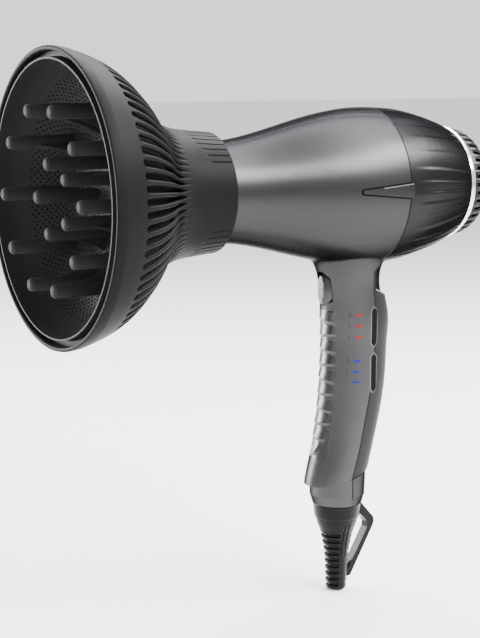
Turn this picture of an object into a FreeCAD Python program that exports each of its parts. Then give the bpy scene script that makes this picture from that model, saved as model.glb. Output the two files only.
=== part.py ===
import FreeCAD, Part
import math
import os
import Sketcher

# Pistol-grip hair dryer with a bell diffuser on its nozzle.
# Frame: +Z up, origin at the centre of the hand grip. The barrel lies along X at
# axis_height and blows towards -X. The keys and lamps are on the -Y side.

DRIVING = [
    ("axis_height", 110.0, "barrel axis above the grip's centre"),
    ("shell", 2.2, "wall of the housings"),
    ("running_gap", 0.3, "gap between pieces that move past each other"),
    # barrel, along its axis
    ("nozzle_front", -122.0, "front edge of the nozzle"),
    ("nozzle_radius", 28.0, "straight end that takes the diffuser"),
    ("neck_x", -70.0, "station in the narrowing neck"),
    ("neck_radius", 31.9, "barrel radius there"),
    ("shoulder_x", -38.0, "station on the shoulder"),
    ("shoulder_radius", 39.8, "barrel radius there"),
    ("belly_x", 5.0, "station of the largest radius"),
    ("belly_radius", 45.8, "largest barrel radius"),
    ("tail_x", 38.0, "station in the rear taper"),
    ("tail_radius", 41.4, "barrel radius there"),
    ("barrel_end", 61.4, "rear edge of the barrel shells"),
    ("barrel_end_radius", 33.7, "barrel radius there"),
    ("seam_x", 8.0, "plane where the barrel shells meet"),
    # rear filter
    ("trim_length", 3.4, "bright ring's length"),
    ("cap_end", 82.0, "rear face of the filter cap"),
    ("cap_face_radius", 20.0, "radius of that face"),
    ("cap_slots", 40, "air slots round the cap"),
    ("cap_slot_angle", 4.2, "angle that one of them takes"),
    # diffuser
    ("rim_x", -194.0, "plane of the diffuser's rim"),
    ("rim_radius", 80.0, "diffuser's outer radius"),
    ("collar_end", -98.8, "rear end of the diffuser's collar"),
    ("collar_radius", 33.65, "collar's outer radius there"),
    ("collar_bore", 31.4, "collar's inner radius"),
    ("lip_bore", 29.4, "inner radius of the collar's end lip"),
    ("slot_count", 72, "long slots round the bell"),
    ("slot_front", -175.8, "slots' wide front end"),
    ("slot_rear", -133.5, "slots' pointed rear end"),
    ("slot_angle", 2.6, "angle that one slot takes"),
    ("bowl_lip", 73.0, "radius of the bowl's lip"),
    ("bowl_wall", 1.8, "bowl's wall"),
    ("outer_seat_x", -162.0, "bowl floor under the outer fingers"),
    ("inner_seat_x", -157.0, "bowl floor under the inner fingers"),
    ("finger_radius", 3.65, "finger's radius"),
    ("outer_ring", 48.4, "pitch radius of the outer fingers"),
    ("outer_count", 10, "outer fingers"),
    ("outer_tip_x", -200.3, "tips of the outer fingers"),
    ("inner_ring", 19.4, "pitch radius of the inner fingers"),
    ("inner_count", 5, "inner fingers"),
    ("inner_tip_x", -193.7, "tips of the inner fingers"),
    ("fin_thickness", 2.0, "gusset fins"),
    ("hole_radius", 0.7, "air holes in the bowl"),
    ("hole_pitch", 2.9, "spacing of the air holes"),
    # handle
    ("grip_half_depth", 21.1, "half of the grip's depth, front to rear"),
    ("grip_half_width", 17.0, "half of the grip's width"),
    ("cover_thickness", 2.2, "rear cover's wall"),
    ("key_half_width", 1.6, "half of a key's width"),
    ("key_length", 11.2, "key's length"),
    ("cold_half_width", 6.6, "half of the cold-shot button's width"),
    ("strip_half_width", 8.6, "half of the front grip strip's width"),
    ("ridge_count", 10, "raised ridges on the grip strip"),
    # boot
    ("boot_x", -9.6, "axis of the strain-relief boot"),
    ("boot_top", -79.2, "boot's shoulder under the handle"),
    ("boot_end", -133.0, "boot's lower end"),
    ("boot_radius", 14.4, "boot's top ring"),
    ("cord_radius", 3.6, "bore for the cord"),
    # fan and heater
    ("duct_radius", 35.0, "fan duct's inner radius"),
    ("fan_radius", 34.0, "fan wheel's radius"),
    ("blade_count", 11, "fan blades"),
    ("vane_count", 7, "guide vanes"),
    ("motor_radius", 16.0, "motor can's radius"),
    ("shaft_radius", 1.6, "motor shaft's radius"),
    ("sleeve_radius", 24.2, "mica sleeve's outer radius"),
    ("coil_radius", 20.8, "heating coil's radius"),
    ("coil_turns", 9, "turns of the heating coil"),
]

os.makedirs("parts", exist_ok=True)
doc = FreeCAD.newDocument("hair_dryer")
sheet = doc.addObject("Spreadsheet::Sheet", "dimensions")
for row, (alias, value, note) in enumerate(DRIVING, 1):
    sheet.set(f"A{row}", alias)
    sheet.set(f"B{row}", str(value))
    sheet.set(f"C{row}", note)
    sheet.setAlias(f"B{row}", alias)
doc.recompute()


# --- helpers ---------------------------------------------------------------

def size(alias):
    """A driving dimension as a number."""
    return float(sheet.get(alias))


def number(value):
    """A number, or the value of an expression on the sheet."""
    if isinstance(value, str):
        return float(FreeCAD.Units.Quantity(str(sheet.evalExpression(value))).Value)
    return float(value)


def cell(alias):
    return f"dimensions.{alias}"


def bind(thing, **links):
    """Bind properties to expressions; a double underscore stands for a dot."""
    for name, expression in links.items():
        thing.setExpression(name.replace("__", "."), expression)


def new_body(label, on_axis=False):
    body = doc.addObject("PartDesign::Body", label)
    body.Label = label
    if on_axis:
        bind(body, Placement__Base__z=cell("axis_height"))
    return body


def datum(body, role):
    return [item for item in body.Origin.OriginFeatures if item.Role == role][0]


def new_sketch(body, role, name):
    sketch = body.newObject("Sketcher::SketchObject", name)
    sketch.AttachmentSupport = [(datum(body, role), "")]
    sketch.MapMode = "FlatFace"
    return sketch


def outline(sketch, *runs):
    """Closed outline of runs, each starting where the one before ends.

    A run is ("line", points) or ("curve", points). The corners of straight runs
    are held by dimensions, bound to the sheet where they are given as expressions.
    """
    pieces, corners = [], []
    for kind, points in runs:
        vectors = [FreeCAD.Vector(number(x), number(y), 0) for x, y in points]
        if kind == "curve":
            spline = Part.BSplineCurve()
            spline.interpolate(vectors)
            pieces.append(spline)
            continue
        for index in range(len(vectors) - 1):
            corners.append((len(pieces), points[index]))
            pieces.append(Part.LineSegment(vectors[index], vectors[index + 1]))
    sketch.addGeometry(pieces, False)
    count = len(pieces)
    for index in range(count):
        sketch.addConstraint(Sketcher.Constraint("Coincident", index, 2, (index + 1) % count, 1))
    for index, point in corners:
        for kind, value in zip(("DistanceX", "DistanceY"), point):
            held = sketch.addConstraint(Sketcher.Constraint(kind, -1, 1, index, 1, number(value)))
            if isinstance(value, str):
                sketch.setExpression(f"Constraints[{held}]", value)


def polygon(sketch, points):
    outline(sketch, ("line", points + points[:1]))


def box_points(low_x, low_y, high_x, high_y):
    return [(low_x, low_y), (high_x, low_y), (high_x, high_y), (low_x, high_y)]


def revolve(body, name, sketch, axis="X_Axis", angle=360):
    feature = body.newObject("PartDesign::Revolution", name)
    feature.Profile = sketch
    feature.ReferenceAxis = (datum(body, axis), [""])
    feature.Angle = angle
    doc.recompute()
    return feature


def turned(label, *runs, on_axis=True, axis="X_Axis"):
    """A body turned about its axis from an outline in the XZ plane."""
    body = new_body(label, on_axis)
    sketch = new_sketch(body, "XZ_Plane", f"{label}_outline")
    outline(sketch, *runs)
    revolve(body, f"{label}_turn", sketch, axis)
    return body


def pad(body, name, sketch, length, midplane=False, backwards=False):
    feature = body.newObject("PartDesign::Pad", name)
    feature.Profile = sketch
    feature.Midplane = midplane
    feature.Reversed = backwards
    if isinstance(length, str):
        bind(feature, Length=length)
    else:
        feature.Length = length
    doc.recompute()
    return feature


def pocket(body, name, sketch, length=None, midplane=False):
    """Cut the sketch through the body, on whichever side removes material."""
    before = body.Shape.Volume
    feature = body.newObject("PartDesign::Pocket", name)
    feature.Profile = sketch
    feature.Midplane = midplane
    if length is None:
        feature.Type = "ThroughAll"
    else:
        feature.Length = length
    doc.recompute()
    if not cuts(body, before):
        feature.Reversed = True
        doc.recompute()
    assert cuts(body, before), f"{name} cuts nothing"
    return feature


def cuts(body, before):
    return body.Shape.Volume < before - 0.01


def polar(body, name, features, count, axis="X_Axis"):
    pattern = body.newObject("PartDesign::PolarPattern", name)
    pattern.Originals = features
    pattern.Axis = (datum(body, axis), [""])
    pattern.Angle = 360
    bind(pattern, Occurrences=count)
    body.Tip = pattern
    doc.recompute()
    return pattern


def radial_slots(body, name, low, high, angle, count):
    """Slots round the X axis: a rectangle (x, radius) swept through an angle, repeated."""
    before = body.Shape.Volume
    sketch = new_sketch(body, "XZ_Plane", f"{name}_outline")
    polygon(sketch, box_points(low[0], low[1], high[0], high[1]))
    feature = body.newObject("PartDesign::Groove", f"{name}_cut")
    feature.Profile = sketch
    feature.ReferenceAxis = (datum(body, "X_Axis"), [""])
    feature.Midplane = True
    bind(feature, Angle=angle)
    doc.recompute()
    assert cuts(body, before), f"{name} cuts nothing"
    polar(body, name, [feature], count)


def linear(body, name, features, axis, length, count, backwards=False):
    pattern = body.newObject("PartDesign::LinearPattern", name)
    pattern.Originals = features
    pattern.Direction = (datum(body, axis), [""])
    pattern.Length = length
    pattern.Occurrences = count
    pattern.Reversed = backwards
    body.Tip = pattern
    doc.recompute()
    return pattern


def combine(kind, label, base, *others):
    """Part boolean of document objects: Cut, Common, or MultiFuse."""
    result = doc.addObject(f"Part::{kind}", label)
    result.Label = label
    if kind == "MultiFuse":
        result.Shapes = [base, *others]
    else:
        result.Base = base
        result.Tool = others[0]
    doc.recompute()
    assert not result.Shape.isNull() and result.Shape.Volume > 0, f"{label} is empty"
    return result


def fuse(label, *shapes):
    return combine("MultiFuse", label, *shapes)


def cut(label, base, *tools):
    """Take the tools away one after another; the last cut carries the label."""
    for index, tool in enumerate(tools[:-1]):
        base = combine("Cut", f"{label}_less_{index}", base, tool)
    return combine("Cut", label, base, tools[-1])


def common(label, base, tool):
    return combine("Common", label, base, tool)


def block(label, low, high):
    """Box between two corners given as numbers or expressions."""
    item = doc.addObject("Part::Box", label)
    item.Label = label
    for side, axis, start, stop in zip(("Length", "Width", "Height"), "xyz", low, high):
        bind(item, **{side: f"({stop}) - ({start})", f"Placement__Base__{axis}": f"{start}"})
    doc.recompute()
    return item


def rod(label, radius, length, base, direction):
    """Cylinder from a base point along a direction."""
    item = doc.addObject("Part::Cylinder", label)
    item.Label = label
    bind(item, Radius=f"{radius}", Height=f"{length}")
    turn = FreeCAD.Rotation(FreeCAD.Vector(0, 0, 1), FreeCAD.Vector(*direction))
    item.Placement = FreeCAD.Placement(FreeCAD.Vector(*base), turn)
    doc.recompute()
    return item


def prism(label, role, points, low, high):
    """Polygon in an origin plane, drawn out between two places along its normal."""
    body = new_body(label)
    sketch = new_sketch(body, role, f"{label}_outline")
    polygon(sketch, points)
    feature = pad(body, f"{label}_pad", sketch, high - low)
    axis = {"XZ_Plane": "y", "YZ_Plane": "x", "XY_Plane": "z"}[role]
    box = body.Shape.BoundBox
    start = {"x": box.XMin, "y": box.YMin, "z": box.ZMin}[axis]
    setattr(body.Placement.Base, axis, low - start)
    base = FreeCAD.Vector(body.Placement.Base)
    setattr(base, axis, low - start)
    body.Placement = FreeCAD.Placement(base, FreeCAD.Rotation())
    doc.recompute()
    return body


# --- barrel blanks ---------------------------------------------------------

BARREL_STATIONS = ["neck", "shoulder", "belly", "tail"]


def barrel_blank(label, inset, front=None, rear=None):
    """Solid of the barrel's outside, moved inwards by inset."""
    front = front or cell("nozzle_front")
    rear = rear or cell("barrel_end")
    curve = [(-104.0, number(f"{cell('nozzle_radius')} - ({inset})"))]
    for name in BARREL_STATIONS:
        curve.append((size(f"{name}_x"), number(f"{cell(name + '_radius')} - ({inset})")))
    curve.append((rear, f"{cell('barrel_end_radius')} - ({inset})"))
    return turned(
        label,
        ("line", [(rear, 0), (front, 0), (front, f"{cell('nozzle_radius')} - ({inset})"), curve[0]]),
        ("curve", curve),
        ("line", [curve[-1], (rear, 0)]),
    )


# --- handle blanks ---------------------------------------------------------
# Stations down the grip: height, centre, half depth and half width less the grip's.

GRIP_STATIONS = [
    (76.0, -3.0, 8.5, 7.0),
    (66.0, -1.8, 2.6, 2.2),
    (57.0, -1.4, -0.5, 0.2),
    (41.0, 0.7, 0.0, 0.0),
    (21.0, 1.7, 0.0, 0.0),
    (2.0, 0.9, -0.2, 0.0),
    (-22.0, -1.6, -1.0, 0.0),
    (-46.0, -6.5, -1.9, -0.4),
    (-68.0, -12.0, -2.2, -1.0),
]
NECK_STATIONS = [(-50.0, -8.6, 16.6), (-73.5, -9.6, 16.6), (-79.2, -9.6, 14.9)]
NECK_LIP = -76.7


def ring_section(name, height, centre, half_depth, half_width):
    section = doc.addObject("Part::Ellipse", name)
    bind(section, MajorRadius=half_depth, MinorRadius=half_width)
    section.Placement = FreeCAD.Placement(FreeCAD.Vector(centre, 0, height), FreeCAD.Rotation())
    return section


def loft(label, sections, ruled=False):
    item = doc.addObject("Part::Loft", label)
    item.Sections = sections
    item.Solid = True
    item.Ruled = ruled
    doc.recompute()
    return item


def grip_blank(label, inset):
    """Solid of the grip's outside, moved inwards by inset: a loft through ellipses in quarters."""
    wires = []
    for height, centre, deeper, wider in GRIP_STATIONS:
        half_depth = number(f"{cell('grip_half_depth')} + {deeper} - ({inset})")
        half_width = number(f"{cell('grip_half_width')} + {wider} - ({inset})")
        ellipse = Part.Ellipse(FreeCAD.Vector(centre, 0, height), half_depth, half_width)
        quarter = math.pi / 2
        starts = [quarter * (index + 0.5) for index in range(4)]
        wires.append(Part.Wire([ellipse.toShape(start, start + quarter) for start in starts]))
    item = doc.addObject("Part::Feature", label)
    item.Shape = Part.makeLoft(wires, True, False)
    return item


def neck_blank(label):
    sections = []
    for index, (height, centre, radius) in enumerate(NECK_STATIONS):
        sections.append(ring_section(f"{label}_{index}", height, centre, f"{radius}", f"{radius}"))
    return loft(label, sections, ruled=True)


# The skirt: the grip ends on a slope, lower at the front.
BELOW_SKIRT = [(-60, -68.5), (-28, -66.5), (-9, -62.5), (8, -57.0), (40, -50.0), (40, -90), (-60, -90)]
# Everything in front of the seam between the shells.
SEAM_X = size("seam_x")
FRONT_SIDE = [(SEAM_X, 200), (SEAM_X, 64.5), (3, 61), (5, 40), (5, 15), (2, -10), (-5, -45), (-9.6, -62),
              (-9.6, -90), (-220, -90), (-220, 200)]

BELOW_FLOOR = [(x, z + size("shell")) for x, z in BELOW_SKIRT[:5]] + BELOW_SKIRT[5:]

below_skirt = prism("below_skirt", "XZ_Plane", BELOW_SKIRT, -40, 40)
below_floor = prism("below_floor", "XZ_Plane", BELOW_FLOOR, -40, 40)
front_side = prism("front_side", "XZ_Plane", FRONT_SIDE, -60, 60)

grip_outer = grip_blank("grip_outer", "0")
grip_core = grip_blank("grip_core", cell("cover_thickness"))
front_cavity = cut("front_cavity", grip_blank("front_void", cell("shell")), below_floor)
rear_cavity = cut(
    "rear_cavity", grip_blank("rear_void", f"{cell('cover_thickness')} + {cell('shell')}"), below_floor)
barrel_outer = barrel_blank("barrel_outer", "0")
barrel_inner = barrel_blank("barrel_inner", cell("shell"), front=f"{cell('nozzle_front')} - 1",
                            rear=f"{cell('barrel_end')} + 1")
NECK_AXIS = size("boot_x")
neck_tools = [
    rod("neck_channel", 11.0, 30, (NECK_AXIS, 0, NECK_LIP + 4), (0, 0, 1)),
    rod("neck_pocket", 14.0, 4.5, (NECK_AXIS, 0, NECK_LIP), (0, 0, 1)),
    rod("neck_mouth", 12.5, 6, (NECK_AXIS, 0, NECK_LIP - 5), (0, 0, 1)),
]
neck_low = common("neck_low", neck_blank("neck_outer"), below_skirt)

# --- details let into the shells -------------------------------------------

KEY_X = 4.2
KEY_SPLITS = {"temp": 28.2, "speed": 0.8}
KEY_POINT = 2.2
KEY_FACE = -16.9
KEY_DEPTH = 4.2


def key_outline(half_width, length, start):
    """A key: square at the split, pointed at its far end."""
    return [(-half_width, start), (half_width, start), (half_width, length - KEY_POINT),
            (0, length), (-half_width, length - KEY_POINT)]


def moved(points, shift_x, shift_z, flip=1):
    return [(shift_x + x, shift_z + flip * z) for x, z in points]


key_wells = []
for name, split in KEY_SPLITS.items():
    gap = size("running_gap")
    half = key_outline(size("key_half_width") + gap, size("key_length") + gap, 0)
    upper = moved(half, KEY_X, split)
    lower = moved(half, KEY_X, split, -1)
    well = [upper[1], upper[2], upper[3], upper[4], upper[0], lower[4], lower[3], lower[2]]
    key_wells.append(prism(f"{name}_well", "XZ_Plane", well, -30, -9))

keys = {}
for name, split in KEY_SPLITS.items():
    for side, flip in (("up", 1), ("down", -1)):
        label = f"{name}_{side}_key"
        body = new_body(label)
        sketch = new_sketch(body, "XZ_Plane", f"{label}_outline")
        half = cell("key_half_width")
        stop = cell("key_length")
        shoulder = f"{stop} - {KEY_POINT}"
        polygon(sketch, [(f"-{half}", 0.15), (half, 0.15), (half, shoulder), (0, stop),
                         (f"-{half}", shoulder)])
        pad(body, f"{label}_cap", sketch, KEY_DEPTH, backwards=True)
        stem = new_sketch(body, "XZ_Plane", f"{label}_stem_outline")
        polygon(stem, box_points(-1.0, 4.0, 1.0, 6.5))
        pad(body, f"{label}_stem", stem, KEY_DEPTH + 1.1, backwards=True)
        turn = FreeCAD.Rotation(FreeCAD.Vector(0, 1, 0), 0 if flip > 0 else 180)
        body.Placement = FreeCAD.Placement(FreeCAD.Vector(KEY_X, KEY_FACE, split), turn)
        keys[label] = body
doc.recompute()

LAMP_LENGTH = 3.8
LAMP_HEIGHT = 1.2
LAMP_ROWS = {"red_lamps": [(-6.2, 35.9), (-6.2, 29.4), (-6.2, 22.8)],
             "blue_lamps": [(-6.8, 8.6), (-7.3, 2.4), (-7.9, -3.8)]}
lamp_bars = {}
for name, places in LAMP_ROWS.items():
    bars = []
    for index, (x, z) in enumerate(places):
        bars.append(block(f"{name}_bar_{index}", (x - LAMP_LENGTH / 2, -20, z - LAMP_HEIGHT / 2),
                          (x + LAMP_LENGTH / 2, -11.6, z + LAMP_HEIGHT / 2)))
    lamp_bars[name] = fuse(f"{name}_bars", *bars)
lamps = {name: common(name, bars, grip_outer) for name, bars in lamp_bars.items()}

COLD_OUTLINE = [(0, 40.6), (1.0, 44.0), (1.0, 57.0), (0.35, 60.2), (-0.35, 60.2), (-1.0, 57.0), (-1.0, 44.0)]
COLD_FRONT = -24.2
COLD_BACK = -13.5


def cold_points(half_width):
    return [(y * half_width, z) for y, z in COLD_OUTLINE]


cold_gap = size("running_gap") + 0.1
cold_well = prism("cold_well", "YZ_Plane", [
    (y + math.copysign(cold_gap, y) if y else y, z + math.copysign(cold_gap, z - 50))
    for y, z in cold_points(size("cold_half_width"))], -40, -12)
cold_shot_button = prism("cold_shot_button", "YZ_Plane", cold_points(size("cold_half_width")),
                         COLD_FRONT, COLD_BACK)

STRIP_TOP = 38.0
STRIP_BOTTOM = -50.0
STRIP_DEPTH = 1.2
RIDGE_HEIGHT = 0.8
RIDGE_SLANT = 12.0
RIDGE_WIDTH = 10.0
strip_blank = block("strip_blank", (-60, f"-{cell('strip_half_width')}", STRIP_BOTTOM),
                    (-6, cell("strip_half_width"), STRIP_TOP))
strip_pocket = cut("strip_pocket", strip_blank, grip_blank("strip_back", f"{STRIP_DEPTH}"))
strip_skin = common("strip_skin", grip_outer, strip_pocket)
ridge_pitch = (STRIP_TOP - STRIP_BOTTOM) / size("ridge_count")
ridge_bars = []
for index in range(int(size("ridge_count"))):
    bar = doc.addObject("Part::Box", f"ridge_bar_{index}")
    bind(bar, Length="50", Width=f"{RIDGE_WIDTH}", Height=f"{ridge_pitch * 0.45}")
    low = STRIP_TOP - (index + 0.75) * ridge_pitch
    slant = RIDGE_SLANT if index % 2 else -RIDGE_SLANT
    middle = FreeCAD.Vector(0, RIDGE_WIDTH / 2, ridge_pitch * 0.22)
    turn = FreeCAD.Rotation(FreeCAD.Vector(1, 0, 0), slant)
    bar.Placement = FreeCAD.Placement(FreeCAD.Vector(-60, -RIDGE_WIDTH / 2, low), turn, middle)
    ridge_bars.append(bar)
ridge_blank = grip_blank("ridge_blank", f"-{RIDGE_HEIGHT}")
ridge_face = common("ridge_face", ridge_blank, fuse("ridge_bars", *ridge_bars))
ridges = cut("ridges", ridge_face, grip_blank("ridge_root", f"{STRIP_DEPTH / 2}"))
front_grip = fuse("front_grip", strip_skin, ridges)

# The cover's side view: a sloping shoulder above, the skirt below.
COVER_SIDE = [(-20, 52.5), (5, 51), (24, 43), (40, 40), *reversed(BELOW_SKIRT[2:5]), (-20, -64.5)]
cover_prism = prism("cover_prism", "XZ_Plane", COVER_SIDE, -40, 40)
PAD_TOP = -11.0
PAD_BOTTOM = -49.0
pad_blank = block("pad_blank", (0, -5.5, PAD_BOTTOM), (40, 5.5, PAD_TOP))
pad_pocket = cut("pad_pocket", pad_blank, grip_blank("pad_back", "1.0"))
rear_pad = common("rear_pad", grip_outer, pad_pocket)
cover_skin = cut("cover_skin", common("cover_side", grip_outer, cover_prism), grip_core, front_side)
handle_rear_cover = cut("handle_rear_cover", cover_skin, pad_pocket, *key_wells)

# --- the two main shells ---------------------------------------------------

FRONT_FILLET = 7.0
REAR_FILLET = 4.0
# Screws join the shells from the rear, under the rear cover: start, height, length.
SCREWS = [(-12.0, 36.0, 29.6), (-21.0, -54.0, 26.6)]
SCREW_RADIUS = 1.5
HEAD_RADIUS = 2.7
HEAD_LENGTH = 1.5
BOSS_RADIUS = 3.2
BOSSES = [(-18.6, 36.0, 17.0), (-25.6, -54.0, 17.0)]


def junction_edges(shape):
    """Edges where the grip runs into the barrel."""
    found = []
    for index, edge in enumerate(shape.Edges, 1):
        box = edge.BoundBox
        if box.ZMin > 60 and box.ZMax < 75 and abs(box.Center.x) < 30 and edge.Length > 15:
            found.append(index)
    return found


def rounded(label, base, radius):
    item = doc.addObject("Part::Fillet", label)
    item.Base = base
    item.Edges = [(index, radius, radius) for index in junction_edges(base.Shape)]
    doc.recompute()
    assert item.Shape.isValid() and item.Shape.Volume > base.Shape.Volume, f"{label} has no fillet"
    return item


screws, bosses = [], []
for index, ((x, z, length), (boss_x, boss_z, boss_length)) in enumerate(zip(SCREWS, BOSSES)):
    shank = rod(f"shank_{index}", SCREW_RADIUS, length, (x, 0, z), (1, 0, 0))
    head = rod(f"head_{index}", HEAD_RADIUS, HEAD_LENGTH, (x + length, 0, z), (1, 0, 0))
    screws.append(fuse(f"screw_{index}", shank, head))
    bosses.append(rod(f"boss_{index}", BOSS_RADIUS, boss_length, (boss_x, 0, boss_z), (1, 0, 0)))
handle_screws = fuse("handle_screws", *screws)

front_blank = rounded("front_rounded", fuse("front_joined", barrel_outer, grip_outer), FRONT_FILLET)
front_shell = cut("front_shell", common("front_half", front_blank, front_side),
                  barrel_inner, front_cavity, below_skirt)
front_neck = common("front_neck", neck_low, front_side)
front_bossed = fuse("front_bossed", fuse("front_necked", front_shell, front_neck), *bosses)
front_housing = cut("front_housing", front_bossed, *neck_tools, strip_pocket, cold_well, *key_wells,
                    *lamp_bars.values(), *screws)

rear_blank = rounded("rear_rounded", fuse("rear_joined", barrel_outer, grip_core), REAR_FILLET)
rear_shell = cut("rear_shell", rear_blank, front_side, barrel_inner, rear_cavity, below_skirt)
rear_neck = cut("rear_neck", neck_low, front_side)
rear_housing = cut("rear_housing", fuse("rear_necked", rear_shell, rear_neck), *neck_tools,
                   *key_wells, *screws)

# --- pieces on the barrel --------------------------------------------------

LATCH_RISE = 0.9
latch_side = prism("latch_side", "XZ_Plane", [
    (x, size("axis_height") + z) for x, z in
    [(-24.0, 0), (-23.2, -1.0), (9.5, -4.2), (9.5, 4.2), (-23.2, 1.0)]], -60, 60)
latch_skin = common("latch_skin", barrel_blank("latch_blank", f"0 - {LATCH_RISE}"), latch_side)
side_latches = cut("side_latches", latch_skin, barrel_outer)

end_x = cell("barrel_end")
end_r = cell("barrel_end_radius")
ring_end = f"{end_x} + {cell('trim_length')}"
SPIGOT_RADIUS = 30.8
SPIGOT_BORE = 29.4
SPIGOT_START = 55.0
trim_ring = turned("trim_ring", ("line", [
    (f"{end_x} + 0.2", SPIGOT_RADIUS), (f"{end_x} + 0.2", end_r), (f"{end_x} + 1.4", f"{end_r} + 0.4"),
    (ring_end, f"{end_r} - 0.6"), (ring_end, SPIGOT_RADIUS), (f"{end_x} + 0.2", SPIGOT_RADIUS)]))

# Filter cap: a domed shell with slots between its ribs, on a spigot inside the barrel.
cap_x = cell("cap_end")
cap_r = cell("cap_face_radius")
DOME = [(size("barrel_end") + size("trim_length"), 32.6), (71.5, 31.6), (77.8, 27.6), (81.2, 22.6)]
inner_dome = [(x - 1.6, r - 1.9) for x, r in reversed(DOME[1:])]
rear_grille = turned(
    "rear_grille",
    ("line", [(cap_x, 0), (f"{cap_x} - 2", 0), (f"{cap_x} - 2", f"{cap_r} - 1"), inner_dome[0]]),
    ("curve", inner_dome),
    ("line", [inner_dome[-1], (66.4, SPIGOT_BORE), (SPIGOT_START, SPIGOT_BORE),
              (SPIGOT_START, SPIGOT_RADIUS), (ring_end, SPIGOT_RADIUS), DOME[0]]),
    ("curve", DOME),
    ("line", [DOME[-1], (cap_x, cap_r), (cap_x, 0)]))
radial_slots(rear_grille, "cap_slots", (67.5, 19.0), (79.5, 40.0), cell("cap_slot_angle"), cell("cap_slots"))
FACE_RINGS = [(4.0, 8), (8.5, 14), (13.0, 20)]
for index, (radius, count) in enumerate(FACE_RINGS):
    face_hole = new_sketch(rear_grille, "YZ_Plane", f"face_hole_{index}_outline")
    polygon(face_hole, box_points(-0.9, radius, 0.9, radius + 3.2))
    face_cut = pocket(rear_grille, f"face_hole_{index}", face_hole, 100)
    polar(rear_grille, f"face_holes_{index}", [face_cut], str(count))
filter_mesh = turned("filter_mesh", ("line", [
    (62.0, 0), (62.0, SPIGOT_BORE), (62.8, SPIGOT_BORE), (62.8, 0), (62.0, 0)]))

# Outlet grille: a disc with windows between its spokes.
GRILLE_X = -120.0
GRILLE_RADIUS = 25.8
outlet_grille = turned("outlet_grille", ("line", [
    (GRILLE_X, 0), (GRILLE_X, GRILLE_RADIUS), (GRILLE_X + 1.8, GRILLE_RADIUS), (GRILLE_X + 1.8, 0),
    (GRILLE_X, 0)]))
for index, (low, high, half) in enumerate([(5.5, 10.0, 1.2), (11.4, 17.2, 2.8), (18.6, 24.4, 5.0)]):
    window = new_sketch(outlet_grille, "YZ_Plane", f"window_{index}_outline")
    polygon(window, box_points(-half, low, half, high))
    window_cut = pocket(outlet_grille, f"window_{index}", window, 200)
    polar(outlet_grille, f"windows_{index}", [window_cut], "10")

# --- diffuser --------------------------------------------------------------

rim_x = cell("rim_x")
rim_r = cell("rim_radius")
BELL_WALL = 2.2
BELL = [(-188.0, 79.4), (-170.0, 73.0), (-158.0, 64.8), (-146.0, 52.0), (-136.0, 41.7), (-126.0, 37.0),
        (-112.0, 34.8)]
bell_inside = [(-115.0, size("collar_bore"))] + [(x + 0.6, r - BELL_WALL) for x, r in reversed(BELL[:-1])]
collar_x = cell("collar_end")
diffuser_bell = turned(
    "diffuser_bell",
    ("line", [(f"{rim_x} + 1", rim_r), (rim_x, f"{rim_r} - 0.6"), (rim_x, f"{rim_r} - 2.2"),
              (f"{rim_x} + 1", f"{rim_r} - 2.8"), bell_inside[-1]]),
    ("curve", list(reversed(bell_inside))),
    ("line", [bell_inside[0], (f"{collar_x} - 2", cell("collar_bore")),
              (f"{collar_x} - 2", cell("lip_bore")), (collar_x, cell("lip_bore")),
              (collar_x, cell("collar_radius")), BELL[-1]]),
    ("curve", list(reversed(BELL))),
    ("line", [BELL[0], (f"{rim_x} + 1", rim_r)]))
radial_slots(diffuser_bell, "slots", (cell("slot_front"), 36.5), (cell("slot_rear"), 90.0),
             cell("slot_angle"), cell("slot_count"))

# Bowl: its floor has two flat rings, where the fingers stand.
bowl_r = cell("bowl_lip")
outer_seat = cell("outer_seat_x")
inner_seat = cell("inner_seat_x")
wall = cell("bowl_wall")
diffuser_bowl = turned("diffuser_bowl", ("line", [
    (rim_x, bowl_r), (f"{rim_x} + 9", f"{bowl_r} - 1.4"), (-176.0, 67.4), (-168.0, 60.0),
    (outer_seat, 53.5), (outer_seat, 43.0), (inner_seat, 28.0), (inner_seat, 0),
    (f"{inner_seat} + {wall}", 0), (f"{inner_seat} + {wall}", 28.6), (f"{outer_seat} + {wall}", 43.6),
    (f"{outer_seat} + {wall}", 54.4), (-167.0, 61.6), (-174.8, 69.2), (f"{rim_x} + 8.4", 73.6),
    (f"{rim_x} + 7.2", f"{rim_r} - 3.2"), (f"{rim_x} + 5.6", f"{rim_r} - 3.2"),
    (f"{rim_x} + 5.6", f"{bowl_r} + 0.9"), (rim_x, f"{bowl_r} + 0.9"), (rim_x, bowl_r)]))
pitch = size("hole_pitch")
for zone, (middle, rows, angle) in enumerate([(62.0, 5, 18.0), (36.0, 4, 0.0), (9.0, 3, 18.0)]):
    holes = new_sketch(diffuser_bowl, "YZ_Plane", f"air_holes_{zone}_outline")
    turn = math.radians(angle)
    for row in range(rows):
        across = min(row, rows - 1 - row) + (2 if zone < 2 else 0)
        for step in range(across + 1):
            side = (step - across / 2) * pitch
            radius = middle + (row - (rows - 1) / 2) * pitch * 0.8
            centre = FreeCAD.Vector(side * math.cos(turn) + radius * math.sin(turn),
                                    radius * math.cos(turn) - side * math.sin(turn), 0)
            circle = holes.addGeometry(Part.Circle(centre, FreeCAD.Vector(0, 0, 1), size("hole_radius")))
            held = holes.addConstraint(Sketcher.Constraint("Radius", circle, size("hole_radius")))
            holes.setExpression(f"Constraints[{held}]", cell("hole_radius"))
    hole_cut = pocket(diffuser_bowl, f"air_holes_{zone}", holes, 220)
    polar(diffuser_bowl, f"air_hole_patches_{zone}", [hole_cut],
          cell("outer_count") if zone < 2 else cell("inner_count"))

FINGER_TIP = 2.0
FIN_START = 16.0


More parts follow.
